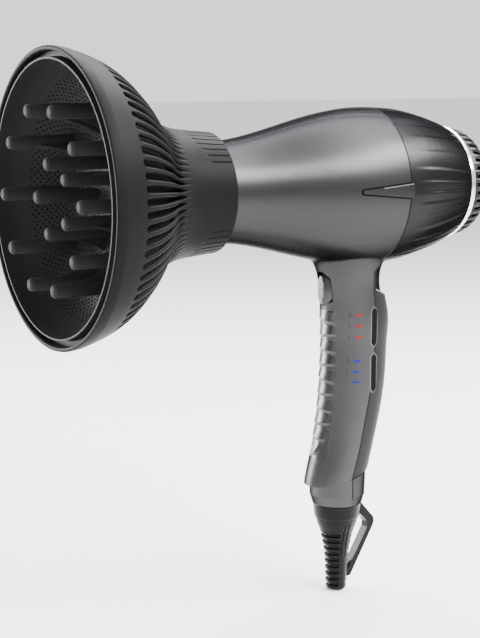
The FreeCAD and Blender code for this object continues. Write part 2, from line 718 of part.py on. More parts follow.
def fingers(label, ring, count, tip_x, seat_x, fin_reach, turn):
    """Ring of fingers, each a round post with a rounded tip and a gusset fin."""
    body = new_body(label, on_axis=True)
    post = new_sketch(body, "XZ_Plane", f"{label}_outline")
    ring_r, tip, seat = cell(ring), cell(tip_x), cell(seat_x)
    radius = cell("finger_radius")
    polygon(post, [
        (seat, ring_r), (seat, f"{ring_r} + {radius}"), (f"{tip} + {FINGER_TIP}", f"{ring_r} + {radius}"),
        (f"{tip} + {FINGER_TIP * 0.3}", f"{ring_r} + {radius} - {FINGER_TIP * 0.3}"),
        (tip, f"{ring_r} + {radius} - {FINGER_TIP}"), (tip, ring_r)])
    turned_post = body.newObject("PartDesign::Revolution", f"{label}_post")
    turned_post.Profile = post
    post.addGeometry(Part.LineSegment(FreeCAD.Vector(size(seat_x), size(ring), 0),
                                      FreeCAD.Vector(size(tip_x), size(ring), 0)), True)
    turned_post.ReferenceAxis = (post, ["Axis0"])
    turned_post.Angle = 360
    doc.recompute()
    fin = new_sketch(body, "XZ_Plane", f"{label}_fin_outline")
    polygon(fin, [(f"{tip} + {FIN_START}", ring_r), *fin_reach])
    turned_fin = pad(body, f"{label}_fin", fin, cell("fin_thickness"), midplane=True)
    polar(body, f"{label}_ring", [turned_post, turned_fin], cell(count))
    rotation = FreeCAD.Rotation(FreeCAD.Vector(1, 0, 0), turn)
    body.Placement = FreeCAD.Placement(FreeCAD.Vector(0, 0, size("axis_height")), rotation)
    doc.recompute()
    return body


outer_fin = [(f"{cell('outer_tip_x')} + {FIN_START}", 45.0), (-165.0, 37.5), (-161.0, 37.5),
             (outer_seat, 43.0), (outer_seat, cell("outer_ring"))]
inner_fin = [(f"{cell('inner_tip_x')} + {FIN_START}", 22.5), (-162.0, 30.0), (-158.5, 30.0),
             (inner_seat, 27.0), (inner_seat, cell("inner_ring"))]
outer_fingers = fingers("diffuser_outer_fingers", "outer_ring", "outer_count", "outer_tip_x",
                        "outer_seat_x", outer_fin, 18)
inner_fingers = fingers("diffuser_inner_fingers", "inner_ring", "inner_count", "inner_tip_x",
                        "inner_seat_x", inner_fin, -18)

gap = cell("running_gap")
grip_ring = turned("diffuser_grip_ring", ("line", [
    (-112.0, f"{cell('nozzle_radius')} + {gap}"), (-112.0, f"{cell('collar_bore')} - {gap}"),
    (-106.0, f"{cell('collar_bore')} - {gap}"), (-106.0, f"{cell('nozzle_radius')} + {gap}"),
    (-112.0, f"{cell('nozzle_radius')} + {gap}")]))

# --- boot and strap --------------------------------------------------------

boot_top = size("boot_top")
cord_r = cell("cord_radius")
boot_r = cell("boot_radius")
FLANGE_TOP = -74.9
BOOT_SIDE = [(12.6, -90.6), (10.4, -95.4), (8.6, -103.0), (7.1, -110.0), (6.6, -118.0)]
strain_relief = turned(
    "strain_relief",
    ("line", [(cord_r, FLANGE_TOP), (13.7, FLANGE_TOP), (13.7, NECK_LIP), (12.2, NECK_LIP),
              (12.2, cell("boot_top")), (boot_r, cell("boot_top")), (f"{boot_r} - 0.4", -84.4),
              (f"{boot_r} - 1.0", -85.0), BOOT_SIDE[0]]),
    ("curve", BOOT_SIDE),
    ("line", [BOOT_SIDE[-1], (6.1, f"{cell('boot_end')} + 1"), (5.4, cell("boot_end")),
              (cord_r, cell("boot_end")), (cord_r, FLANGE_TOP)]),
    on_axis=False, axis="Z_Axis")
grooves = []
for side in ("front", "rear"):
    cutter = new_sketch(strain_relief, "XZ_Plane", f"{side}_groove_outline")
    reach = -1 if side == "front" else 1
    polygon(cutter, box_points(min(reach * 5.2, reach * 18), -99.4, max(reach * 5.2, reach * 18), -97.8))
    feature = strain_relief.newObject("PartDesign::Groove", f"{side}_groove")
    feature.Profile = cutter
    feature.ReferenceAxis = (datum(strain_relief, "Z_Axis"), [""])
    feature.Angle = 110
    feature.Midplane = True
    doc.recompute()
    grooves.append(feature)
linear(strain_relief, "grooves", grooves, "Z_Axis", 32.0, 9, backwards=True)
bind(strain_relief, Placement__Base__x=cell("boot_x"))
doc.recompute()

STRAP_OUTER = [(3.0, -80.6), (5.4, -80.6), (15.6, -92.0), (16.2, -94.4), (15.4, -97.0), (-1.2, -126.4),
               (-5.0, -126.4)]
STRAP_INNER = [(-5.0, -121.6), (-2.6, -121.6), (11.0, -98.0), (11.2, -95.0), (9.4, -92.2), (3.0, -86.6)]
STRAP_WIDTH = 6.0
strap = prism("strap", "XZ_Plane", STRAP_OUTER + STRAP_INNER, -STRAP_WIDTH / 2, STRAP_WIDTH / 2)
boot_blank = turned(
    "boot_blank",
    ("line", [(0, -78.0), (boot_r, -78.0), (f"{boot_r} - 0.4", -84.4), (f"{boot_r} - 1.0", -85.0),
              BOOT_SIDE[0]]),
    ("curve", BOOT_SIDE),
    ("line", [BOOT_SIDE[-1], (6.1, -132.0), (0, -132.0), (0, -78.0)]),
    on_axis=False, axis="Z_Axis")
bind(boot_blank, Placement__Base__x=cell("boot_x"))
doc.recompute()
hanging_loop = cut("hanging_loop", strap, boot_blank)

# --- inside the handle -----------------------------------------------------

cord_clamp = cut("cord_clamp", rod("clamp_blank", 10.7, 7.0, (NECK_AXIS, 0, -70.5), (0, 0, 1)),
                 rod("clamp_bore", cell("cord_radius"), 9.0, (NECK_AXIS, 0, -71.5), (0, 0, 1)))
BOARD_Y = -6.0
BOARD_THICKNESS = 1.6
control_board = block("control_board", (-9.0, BOARD_Y, -24.0), (12.0, BOARD_Y + BOARD_THICKNESS, 47.0))
SWITCH_HEIGHT = 4.5
switches = []
for name, split in KEY_SPLITS.items():
    for flip in (1, -1):
        middle = split + flip * 5.25
        switches.append(block(f"switch_{name}_{flip}", (KEY_X - 2.6, BOARD_Y - SWITCH_HEIGHT, middle - 2.6),
                              (KEY_X + 2.6, BOARD_Y, middle + 2.6)))
key_switches = fuse("key_switches", *switches)
cold_shot_switch = block("cold_shot_switch", (-11.2, -4.0, 46.0), (-5.6, 4.0, 54.0))

# --- heater, fan and motor -------------------------------------------------

mica_sleeve = turned("mica_sleeve", ("line", [
    (-112.0, f"{cell('sleeve_radius')} - 0.6"), (-112.0, cell("sleeve_radius")),
    (-34.0, cell("sleeve_radius")), (-34.0, f"{cell('sleeve_radius')} - 0.6"),
    (-112.0, f"{cell('sleeve_radius')} - 0.6")]))
heater_frame = new_body("heater_frame", on_axis=True)
MICA = 0.8
CROSS_REACH = 19.2
cross = new_sketch(heater_frame, "YZ_Plane", "heater_frame_outline")
half = MICA / 2
polygon(cross, [(-half, CROSS_REACH), (-half, half), (-CROSS_REACH, half), (-CROSS_REACH, -half),
                (-half, -half), (-half, -CROSS_REACH), (half, -CROSS_REACH), (half, -half),
                (CROSS_REACH, -half), (CROSS_REACH, half), (half, half), (half, CROSS_REACH)])
pad(heater_frame, "heater_frame_pad", cross, 70.0)
heater_frame.Placement.Base.x = -108.0 - heater_frame.Shape.BoundBox.XMin
doc.recompute()
coils = []
coil_pitch = 64.0 / size("coil_turns")
for index in range(int(size("coil_turns"))):
    coil = doc.addObject("Part::Torus", f"coil_{index}")
    bind(coil, Radius1=cell("coil_radius"), Radius2="1.1", Placement__Base__z=cell("axis_height"))
    coil.Placement = FreeCAD.Placement(FreeCAD.Vector(-105 + (index + 0.5) * coil_pitch, 0, 110),
                                       FreeCAD.Rotation(FreeCAD.Vector(0, 1, 0), 90))
    coils.append(coil)
heater_coils = fuse("heater_coils", *coils)
thermal_cutout = rod("thermal_cutout", 2.6, 9.0, (-66.0, -7.0, 117.0), (1, 0, 0))

duct_r = cell("duct_radius")
DUCT_START, DUCT_END = -8.0, 43.0
fan_duct = turned("fan_duct", ("line", [
    (DUCT_START, duct_r), (DUCT_START, f"{duct_r} + 1.5"), (DUCT_END, f"{duct_r} + 1.5"),
    (DUCT_END, duct_r), (DUCT_START, duct_r)]))
vane = new_sketch(fan_duct, "XZ_Plane", "vane_outline")
polygon(vane, box_points(-6.0, f"{cell('motor_radius')} + 0.6", 14.0, f"{duct_r} + 0.5"))
vane_pad = pad(fan_duct, "vane", vane, 1.4, midplane=True)
polar(fan_duct, "vanes", [vane_pad], cell("vane_count"))
collar = new_sketch(fan_duct, "XZ_Plane", "motor_collar_outline")
polygon(collar, box_points(-6.0, cell("motor_radius"), 14.0, f"{cell('motor_radius')} + 1.2"))
revolve(fan_duct, "motor_collar", collar)

motor_r = cell("motor_radius")
motor_can = turned("motor_can", ("line", [
    (-10.0, 4.6), (-10.0, motor_r), (22.0, motor_r), (22.0, 4.6), (20.4, 4.6), (20.4, f"{motor_r} - 1.4"),
    (-8.4, f"{motor_r} - 1.4"), (-8.4, 4.6), (-10.0, 4.6)]))
shaft_r = cell("shaft_radius")
motor_shaft = turned("motor_shaft", ("line", [
    (-12.0, 0), (-12.0, shaft_r), (40.0, shaft_r), (40.0, 0), (-12.0, 0)]))
bearings = []
for index, start in enumerate((-10.0, 18.4)):
    bearings.append(turned(f"bearing_{index}", ("line", [
        (start, f"{shaft_r} + 0.05"), (start, 4.6), (start + 3.6, 4.6),
        (start + 3.6, f"{shaft_r} + 0.05"), (start, f"{shaft_r} + 0.05")])))
motor_bearings = fuse("motor_bearings", *bearings)
motor_rotor = turned("motor_rotor", ("line", [
    (-4.0, shaft_r), (-4.0, 13.2), (15.0, 13.2), (15.0, shaft_r), (-4.0, shaft_r)]))

fan_wheel = turned("fan_wheel", ("line", [
    (26.0, 0), (26.0, 12.0), (38.0, 12.0), (42.0, 8.0), (42.0, 0), (26.0, 0)]))
blade = new_sketch(fan_wheel, "XY_Plane", "blade_outline")
polygon(blade, [(26.6, -4.6), (28.2, -5.0), (40.0, 4.4), (38.4, 4.8)])
blade_pad = pad(fan_wheel, "blade", blade, cell("fan_radius"))
polar(fan_wheel, "blades", [blade_pad], cell("blade_count"))
impeller = cut("impeller", fan_wheel, motor_shaft)

ioniser_box = block("ioniser_box", (-52.0, -6.0, 136.2), (-36.0, 6.0, 141.4))
needles = [rod(f"needle_{index}", 0.5, 8.0, (-59.5, y, 138.6), (1, 0, 0)) for index, y in enumerate((-3, 3))]
ioniser = fuse("ioniser", ioniser_box, *needles)

# --- check and write -------------------------------------------------------

nodes = [
    diffuser_bell, diffuser_bowl, outer_fingers, inner_fingers, grip_ring,
    front_housing, rear_housing, side_latches, handle_rear_cover, rear_pad, front_grip,
    cold_shot_button, *keys.values(), *lamps.values(), trim_ring, rear_grille, filter_mesh,
    outlet_grille, mica_sleeve, heater_frame, heater_coils, thermal_cutout,
    fan_duct, motor_can, motor_bearings, motor_shaft, motor_rotor, impeller, ioniser,
    control_board, key_switches, cold_shot_switch, cord_clamp, handle_screws,
    strain_relief, hanging_loop,
]
doc.recompute()
for item in doc.Objects:
    if "Invalid" in item.State or "Error" in item.State:
        raise RuntimeError(f"{item.Label} is {item.State}")
for node in nodes:
    if node.Shape.isNull() or not node.Shape.isValid() or not node.Shape.Solids:
        raise RuntimeError(f"{node.Label} has no valid solid")
for node in nodes:
    node.Shape.exportStep(f"parts/{node.Label}.step")
    print(f"{node.Label:24s} {len(node.Shape.Solids):3d} {node.Shape.Volume:10.0f} mm3")
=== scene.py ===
import math

import bmesh
import bpy
import numpy as np
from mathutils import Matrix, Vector
from mathutils.bvhtree import BVHTree


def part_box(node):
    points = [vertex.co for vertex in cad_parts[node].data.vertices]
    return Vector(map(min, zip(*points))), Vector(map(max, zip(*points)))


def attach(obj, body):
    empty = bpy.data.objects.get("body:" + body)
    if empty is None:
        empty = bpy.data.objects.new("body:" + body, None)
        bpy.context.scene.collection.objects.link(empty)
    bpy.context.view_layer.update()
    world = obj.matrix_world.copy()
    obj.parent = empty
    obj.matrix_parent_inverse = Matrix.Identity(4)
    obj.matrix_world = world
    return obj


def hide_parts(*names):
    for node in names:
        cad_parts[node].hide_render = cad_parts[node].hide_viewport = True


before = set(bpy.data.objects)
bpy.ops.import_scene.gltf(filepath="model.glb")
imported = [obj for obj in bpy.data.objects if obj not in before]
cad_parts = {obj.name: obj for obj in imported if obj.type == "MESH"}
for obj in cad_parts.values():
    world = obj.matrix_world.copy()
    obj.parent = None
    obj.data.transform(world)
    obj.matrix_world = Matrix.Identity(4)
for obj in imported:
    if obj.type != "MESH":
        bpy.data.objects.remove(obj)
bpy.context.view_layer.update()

# Work is done in millimetres, in the part's own frame, and scaled when a mesh is made.
MM = 0.001
ring_low, ring_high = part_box("trim_ring")
AXIS_Z = (ring_low.z + ring_high.z) / 2 / MM
RING_START, RING_END = ring_low.x / MM, ring_high.x / MM
CAP_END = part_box("rear_grille")[1].x / MM
RIM_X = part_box("diffuser_bell")[0].x / MM
RIM_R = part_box("diffuser_bell")[1].y / MM
COLLAR_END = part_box("diffuser_bell")[1].x / MM
BOOT_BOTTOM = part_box("strain_relief")[0].z / MM
SEAM_X = 8.0             # where the barrel's two halves meet


# --- mesh helpers ----------------------------------------------------------

class Mesh:
    """Collects sheets of points into one mesh."""

    def __init__(self):
        self.points = []
        self.faces = []
        self.count = 0

    def sheet(self, rows, close=False, flip=False):
        """Quads over a grid of points; close joins the last column to the first."""
        rows = np.asarray(rows, dtype=float)
        height, width = rows.shape[:2]
        start = self.count
        self.points.append(rows.reshape(-1, 3))
        self.count += height * width
        for i in range(height - 1):
            for j in range(width if close else width - 1):
                k = (j + 1) % width
                a, b = start + i * width + j, start + i * width + k
                c, d = start + (i + 1) * width + k, start + (i + 1) * width + j
                self.faces.append((d, c, b, a) if flip else (a, b, c, d))
        return self

    def loose(self, points, faces):
        self.points.append(np.asarray(points, dtype=float))
        self.faces += [tuple(self.count + i for i in face) for face in faces]
        self.count += len(points)
        return self

    def build(self, name, body, material, replaced=(), slot=None, sharp=40.0, merge=0.004):
        mesh = bpy.data.meshes.new(name)
        mesh.from_pydata((np.concatenate(self.points) * MM).tolist(), [], self.faces)
        return finish_piece(name, mesh, body, material, replaced, sharp, merge)


def finish_piece(name, mesh, body, material, replaced=(), sharp=40.0, merge=0.004):
    """Weld, shade smooth with sharp edges, paint, and hang a mesh on its body."""
    if merge:
        work = bmesh.new()
        work.from_mesh(mesh)
        bmesh.ops.remove_doubles(work, verts=work.verts, dist=merge * MM)
        bmesh.ops.recalc_face_normals(work, faces=work.faces)
        work.to_mesh(mesh)
        work.free()
    mesh.validate()
    mesh.polygons.foreach_set("use_smooth", [True] * len(mesh.polygons))
    mesh.set_sharp_from_angle(angle=math.radians(sharp))
    mesh.materials.clear()
    mesh.materials.append(material)
    piece = bpy.data.objects.new(name, mesh)
    bpy.context.scene.collection.objects.link(piece)
    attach(piece, body)
    if replaced:
        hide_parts(*replaced)
    return piece


def spline(points, count):
    """Points evenly along a natural cubic through the given ones."""
    points = np.asarray(points, dtype=float)
    chord = arc_length(points)
    size = len(points)
    step = np.diff(chord)
    system = np.eye(size)
    right = np.zeros_like(points)
    for i in range(1, size - 1):
        system[i, i - 1:i + 2] = step[i - 1], 2 * (step[i - 1] + step[i]), step[i]
        slope = np.diff(points[i - 1:i + 2], axis=0) / step[i - 1:i + 1, None]
        right[i] = 6 * (slope[1] - slope[0])
    bend = np.linalg.solve(system, right)
    place = np.linspace(0, chord[-1], count)
    left = np.clip(np.searchsorted(chord, place) - 1, 0, size - 2)
    span = step[left][:, None]
    ahead = (chord[left + 1] - place)[:, None]
    behind = (place - chord[left])[:, None]
    return (bend[left] * ahead ** 3 + bend[left + 1] * behind ** 3) / (6 * span) \
        + (points[left] / span - bend[left] * span / 6) * ahead \
        + (points[left + 1] / span - bend[left + 1] * span / 6) * behind


def around(x, radius, angle):
    """Point on the barrel's axis system: angle 0 faces -Y, 90 degrees faces up."""
    return np.stack([x + 0 * angle, -radius * np.cos(angle), AXIS_Z + radius * np.sin(angle)], axis=-1)


def turned(profile, angle, drop=0.0):
    """Rows of points that turn a list of (x, radius) about the barrel's axis."""
    return [around(x, radius - drop, angle) for x, radius in profile]


def arc_length(points):
    """Distance along a line of points, from its first."""
    return np.concatenate([[0], np.cumsum(np.linalg.norm(np.diff(points, axis=0), axis=1))])


def outward(profile):
    """Unit normals of a profile."""
    slope = np.gradient(profile, axis=0)
    normal = np.stack([-slope[:, 1], slope[:, 0]], axis=1)
    return normal / np.linalg.norm(normal, axis=1)[:, None]


def ramp(value, low, high):
    """Smooth step from 0 at low to 1 at high."""
    part = np.clip((np.asarray(value, dtype=float) - low) / (high - low), 0, 1)
    return part * part * (3 - 2 * part)


def coords(node):
    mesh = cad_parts[node].data
    flat = np.empty(len(mesh.vertices) * 3)
    mesh.vertices.foreach_get("co", flat)
    return flat.reshape(-1, 3) / MM


def surface(*nodes):
    """Ray target made of CAD nodes."""
    points, faces = [], []
    for node in nodes:
        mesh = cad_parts[node].data
        start = len(points)
        points += [vertex.co / MM for vertex in mesh.vertices]
        faces += [[start + i for i in face.vertices] for face in mesh.polygons]
    return BVHTree.FromPolygons(points, faces)


# --- materials -------------------------------------------------------------

def plastic(name, colour, rough, metallic=0.0, coat=0.0, grain=0.15, grain_size=2500.0, mottle=0.12,
            streak=None, edge=1.0, specular=0.5, grip=None):
    """Moulded or lacquered surface: fine grain in the bump, soft cloud in colour and roughness.
    grip is how many times lighter the colour is painted below the barrel: painted light on the grip."""
    material = bpy.data.materials.new(name)
    material.use_nodes = True
    nodes, links = material.node_tree.nodes, material.node_tree.links
    shader = nodes["Principled BSDF"]
    shader.inputs["Metallic"].default_value = metallic
    shader.inputs["Coat Weight"].default_value = coat
    shader.inputs["Coat Roughness"].default_value = 0.18
    shader.inputs["Specular Tint"].default_value = (edge, edge, edge, 1)
    shader.inputs["Specular IOR Level"].default_value = specular
    place = nodes.new("ShaderNodeTexCoord")
    scale = nodes.new("ShaderNodeMapping")
    scale.inputs["Scale"].default_value = streak or (1, 1, 1)
    links.new(place.outputs["Object"], scale.inputs["Vector"])
    cloud = nodes.new("ShaderNodeTexNoise")
    cloud.inputs["Scale"].default_value = 45.0
    cloud.inputs["Detail"].default_value = 4.0
    fine = nodes.new("ShaderNodeTexNoise")
    fine.inputs["Scale"].default_value = grain_size
    fine.inputs["Detail"].default_value = 3.0
    links.new(scale.outputs["Vector"], cloud.inputs["Vector"])
    links.new(scale.outputs["Vector"], fine.inputs["Vector"])
    shade = nodes.new("ShaderNodeMix")
    shade.data_type = "RGBA"
    shade.inputs["A"].default_value = (*[c * (1 - mottle) for c in colour], 1)
    shade.inputs["B"].default_value = (*[min(1, c * (1 + mottle)) for c in colour], 1)
    links.new(cloud.outputs["Fac"], shade.inputs["Factor"])
    links.new(shade.outputs["Result"], shader.inputs["Base Color"])
    # painted light: the colour is made lighter below the barrel
    if grip:
        paint_light_on_grip(nodes, links, place, shade, shader, grip)
    gloss = nodes.new("ShaderNodeMapRange")
    gloss.inputs["To Min"].default_value = max(0.02, rough - 0.05)
    gloss.inputs["To Max"].default_value = rough + 0.05
    links.new(cloud.outputs["Fac"], gloss.inputs["Value"])
    links.new(gloss.outputs["Result"], shader.inputs["Roughness"])
    bump = nodes.new("ShaderNodeBump")
    bump.inputs["Strength"].default_value = grain
    bump.inputs["Distance"].default_value = 0.00006
    links.new(fine.outputs["Fac"], bump.inputs["Height"])
    links.new(bump.outputs["Normal"], shader.inputs["Normal"])
    return material


def paint_light_on_grip(nodes, links, place, shade, shader, times):
    """Painted light and shade: the colour grows lighter from the barrel's underside down into the grip,
    standing in for light on the grip and shade under the barrel.
    """
    split = nodes.new("ShaderNodeSeparateXYZ")
    links.new(place.outputs["Object"], split.inputs["Vector"])
    height = nodes.new("ShaderNodeMapRange")
    height.inputs["From Min"].default_value = 0.066
    height.inputs["From Max"].default_value = 0.046
    height.inputs["To Min"].default_value = 1.0
    height.inputs["To Max"].default_value = times
    links.new(split.outputs["Z"], height.inputs["Value"])
    scaled = nodes.new("ShaderNodeVectorMath")
    scaled.operation = "SCALE"
    links.new(shade.outputs["Result"], scaled.inputs["Vector"])
    links.new(height.outputs["Result"], scaled.inputs["Scale"])
    links.new(scaled.outputs["Vector"], shader.inputs["Base Color"])


def lens(name, colour, glow):
    """Lamp window that glows faintly in its own colour."""
    material = plastic(name, colour, 0.4, grain=0.05, specular=0.1)
    shader = material.node_tree.nodes["Principled BSDF"]
    shader.inputs["Emission Color"].default_value = (*colour, 1)
    shader.inputs["Emission Strength"].default_value = glow
    return material


PAINT = {
    "diffuser": plastic("diffuser_charcoal", (0.0055, 0.0055, 0.006), 0.46, grain=0.35, grain_size=3500,
                        specular=0.03),
    "finger": plastic("finger_charcoal", (0.022, 0.022, 0.0235), 0.6, grain=0.3, specular=0.04),
    "bowl": plastic("bowl_charcoal", (0.014, 0.014, 0.015), 0.5, grain=0.35, grain_size=3500,
                    specular=0.06),
    # satin and gloss carry painted light: their colour is painted lighter below the barrel
    "satin": plastic("graphite_satin", (0.036, 0.036, 0.0375), 0.34, metallic=1.0, grain=0.2,
                     streak=(0.25, 1, 1), edge=0.3, grip=1.55),
    "gloss": plastic("graphite_gloss", (0.022, 0.022, 0.0229), 0.34, metallic=1.0, grain=0.15,
                     streak=(0.2, 1, 1), edge=0.3, grip=2.1),
    "cap": plastic("cap_satin", (0.04, 0.04, 0.0413), 0.34, metallic=1.0, grain=0.2, edge=0.5),
    "dark": plastic("cover_dark", (0.02, 0.02, 0.0208), 0.38, metallic=0.5, grain=0.25, edge=0.5,
                    specular=0.1),
    "strip": plastic("grip_gloss", (0.056, 0.056, 0.0575), 0.26, metallic=1.0, grain=0.1),
    "button": plastic("button_satin", (0.05, 0.05, 0.0515), 0.36, metallic=1.0, grain=0.9, grain_size=900),
    "black": plastic("key_black", (0.004, 0.004, 0.0043), 0.45, grain=0.2, specular=0.04),
    "rubber": plastic("boot_rubber", (0.004, 0.004, 0.0043), 0.22, grain=0.2, specular=0.1),
    "pad": plastic("pad_rubber", (0.008, 0.008, 0.009), 0.6, grain=0.5, grain_size=1500),
    "chrome": plastic("bright_trim", (0.82, 0.82, 0.84), 0.16, metallic=1.0, grain=0.03, mottle=0.03),
    "steel": plastic("inner_steel", (0.5, 0.5, 0.51), 0.3, metallic=1.0, grain=0.3, streak=(1, 1, 12)),
    "copper": plastic("winding_copper", (0.55, 0.25, 0.12), 0.35, metallic=1.0, streak=(14, 1, 1)),
    "mica": plastic("mica_sheet", (0.5, 0.44, 0.3), 0.5, mottle=0.3, grain=0.3, grain_size=600),
    "board": plastic("circuit_board", (0.02, 0.16, 0.07), 0.4, coat=0.3, mottle=0.25),
    "red": lens("red_lens", (0.2, 0.006, 0.006), 0.06),
    "blue": lens("blue_lens", (0.006, 0.009, 0.16), 0.06),
    # Near-black: dark joints at the seams and latches, and painted shade on the cone inside the bell
    "shadow": plastic("joint_and_shade_black", (0.002, 0.002, 0.0022), 0.6, grain=0.1, specular=0.05),
    # Painted highlight: light grey for bevels and edges, far lighter than the shells they sit on
    "edge": plastic("bevel_painted_highlight", (0.3, 0.3, 0.305), 0.3, metallic=1.0, grain=0.1),
    # Painted highlight: lighter grey for the chamfers round the key recesses
    "chamfer": plastic("chamfer_painted_highlight", (0.13, 0.13, 0.133), 0.34, metallic=1.0, grain=0.1),
    "ink": plastic("printed_ink", (0.004, 0.004, 0.0042), 0.6, grain=0.1),
}

# The carried-over CAD nodes of each paint.
CAD_PAINT = {
    "pad": ("rear_pad",),
    "dark": ("handle_rear_cover",),
    "black": ("temp_up_key", "temp_down_key", "speed_up_key", "speed_down_key", "outlet_grille",
              "fan_duct", "impeller", "ioniser", "key_switches", "cold_shot_switch", "cord_clamp"),
    "red": ("red_lamps",),
    "blue": ("blue_lamps",),
    "steel": ("filter_mesh", "heater_coils", "thermal_cutout", "motor_can", "motor_bearings",
              "motor_shaft", "handle_screws"),
    "mica": ("mica_sleeve", "heater_frame"),
    "copper": ("motor_rotor",),
    "board": ("control_board",),
    "rubber": ("diffuser_grip_ring", "strain_relief", "hanging_loop"),
    "satin": ("side_latches", "front_housing"),
    "chrome": ("trim_ring",),
    "gloss": ("rear_housing", "rear_grille"),
    "strip": ("front_grip",),
    "button": ("cold_shot_button",),
}


def paint_cad():
    for paint, nodes in CAD_PAINT.items():
        for node in nodes:
            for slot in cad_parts[node].material_slots:
                slot.material = PAINT[paint]


# --- bell and collar -------------------------------------------------------

# Places of the points across half a rib, from its middle to the slot.
HALF_COLUMNS = np.array([0.0, 0.3, 0.55, 0.75, 0.9, 1.0])


def slotted_shell(mesh, outer, wall, slot_half, count, roll):
    """Turned shell with slots. outer is rows of (x, radius); slot_half gives each row's half slot in mm,
    0 where there is none; roll rounds the ribs' crests by that much, row by row."""
    pitch = 2 * math.pi / count
    normal = outward(outer)
    normal *= np.sign(normal[:, 1:2] + 1e-9)
    inner = outer - normal * wall
    half = slot_half / outer[:, 1]
    open_rows = np.where(slot_half > 0)[0]
    bands = np.split(open_rows, np.where(np.diff(open_rows) > 1)[0] + 1) if len(open_rows) else []
    edge = HALF_COLUMNS[None, :] ** 3
    for index in range(count):
        for side in (-1, 1):
            centre = index * pitch
            angle = centre + side * HALF_COLUMNS[None, :] * (pitch / 2 - half)[:, None]
            crest = outer[:, None, :] - normal[:, None, :] * (roll[:, None] * edge)[..., None]
            mesh.sheet(around(crest[..., 0], crest[..., 1], angle), flip=side < 0)
            back = np.repeat(inner[:, None, :], len(HALF_COLUMNS), 1)
            mesh.sheet(around(back[..., 0], back[..., 1], angle), flip=side > 0)
            for band in bands:
                rows = np.arange(band[0] - 1, min(band[-1] + 2, len(outer)))
                rim = angle[rows, -1]
                top, low = crest[rows, -1], inner[rows]
                mesh.sheet([around(top[:, 0], top[:, 1], rim), around(low[:, 0], low[:, 1], rim)],
                           flip=side < 0)
    return inner


BELL = [(-188.0, 79.4), (-170.0, 73.0), (-158.0, 64.8), (-146.0, 52.0), (-136.0, 41.7), (-126.0, 37.0),
        (-119.0, 35.5)]
SLOT_COUNT = 72
SLOT_FRONT, SLOT_REAR = -175.8, -133.5
SLOT_HALF = 1.85
SLOT_CORNER, SLOT_POINT = 1.3, 5.0      # lengths of the rounded front and the pointed rear
BELL_WALL = 2.2


def bell_slot_half(x):
    """Half width of a slot: rounded square front, slight taper, pointed rear."""
    corner = np.clip((x - SLOT_FRONT) / SLOT_CORNER, 0, 1)
    front = SLOT_HALF * np.sqrt(1 - (1 - corner) ** 2)
    taper = np.interp(x, [SLOT_FRONT, -160.0, -148.0, -138.0, SLOT_REAR], [1.0, 0.88, 0.66, 0.5, 0.36])
    point = np.clip((SLOT_REAR - x) / SLOT_POINT, 0, 1) ** 0.6
    return np.where((x > SLOT_FRONT) & (x < SLOT_REAR), front * taper * point, 0)


def make_bell():
    """Bell with its rolled rim, air slots and collar; its rows crowd where the slots begin."""
    mesh = Mesh()
    outer = spline(BELL, 420)
    keep = np.concatenate([np.arange(0, 60, 6), np.arange(60, 90), np.arange(90, 400, 4),
                           np.arange(400, 420, 5)])
    outer = outer[np.unique(keep)]
    x = outer[:, 0]
    bulge = 0.7 * np.exp(-((x + 148.3) / 4.5) ** 2)
    outer[:, 1] += bulge * (bell_slot_half(x) > 0)
    roll = ramp(x, SLOT_FRONT - 1.0, SLOT_FRONT + 8) * (1 - ramp(x, -136.0, -127.0))
    inner = slotted_shell(mesh, outer, BELL_WALL, bell_slot_half(x), SLOT_COUNT, roll)
    turn = np.linspace(0, 2 * math.pi, SLOT_COUNT * 4, endpoint=False)
    rim = [outer[0], (RIM_X + 1.2, RIM_R), (RIM_X + 0.35, RIM_R - 0.2), (RIM_X, RIM_R - 0.8),
           (RIM_X, RIM_R - 1.8), (RIM_X + 0.4, RIM_R - 2.4), (RIM_X + 1.2, RIM_R - 2.7), inner[0]]
    mesh.sheet(turned(rim, turn), close=True)
    make_collar(mesh, outer[-1], inner[-1])
    mesh.build("bell_shell", "diffuser", PAINT["diffuser"], ["diffuser_bell"], "diffuser_plastic", 38)


# Degrees up from the side, and as many below it.
GROOVE_ANGLES = [33 + 7 * k for k in range(17)]
GROOVE_ANGLES += [-angle for angle in GROOVE_ANGLES]
GROOVE_DEPTH = 0.5
GROOVE_HALF = 0.95       # degrees


def groove_front(angle):
    """Where a collar groove starts: further forward towards the top."""
    return max(-113.4 - 9.0 * (min(angle, 180 - angle) - 33) / 44, -119.0)


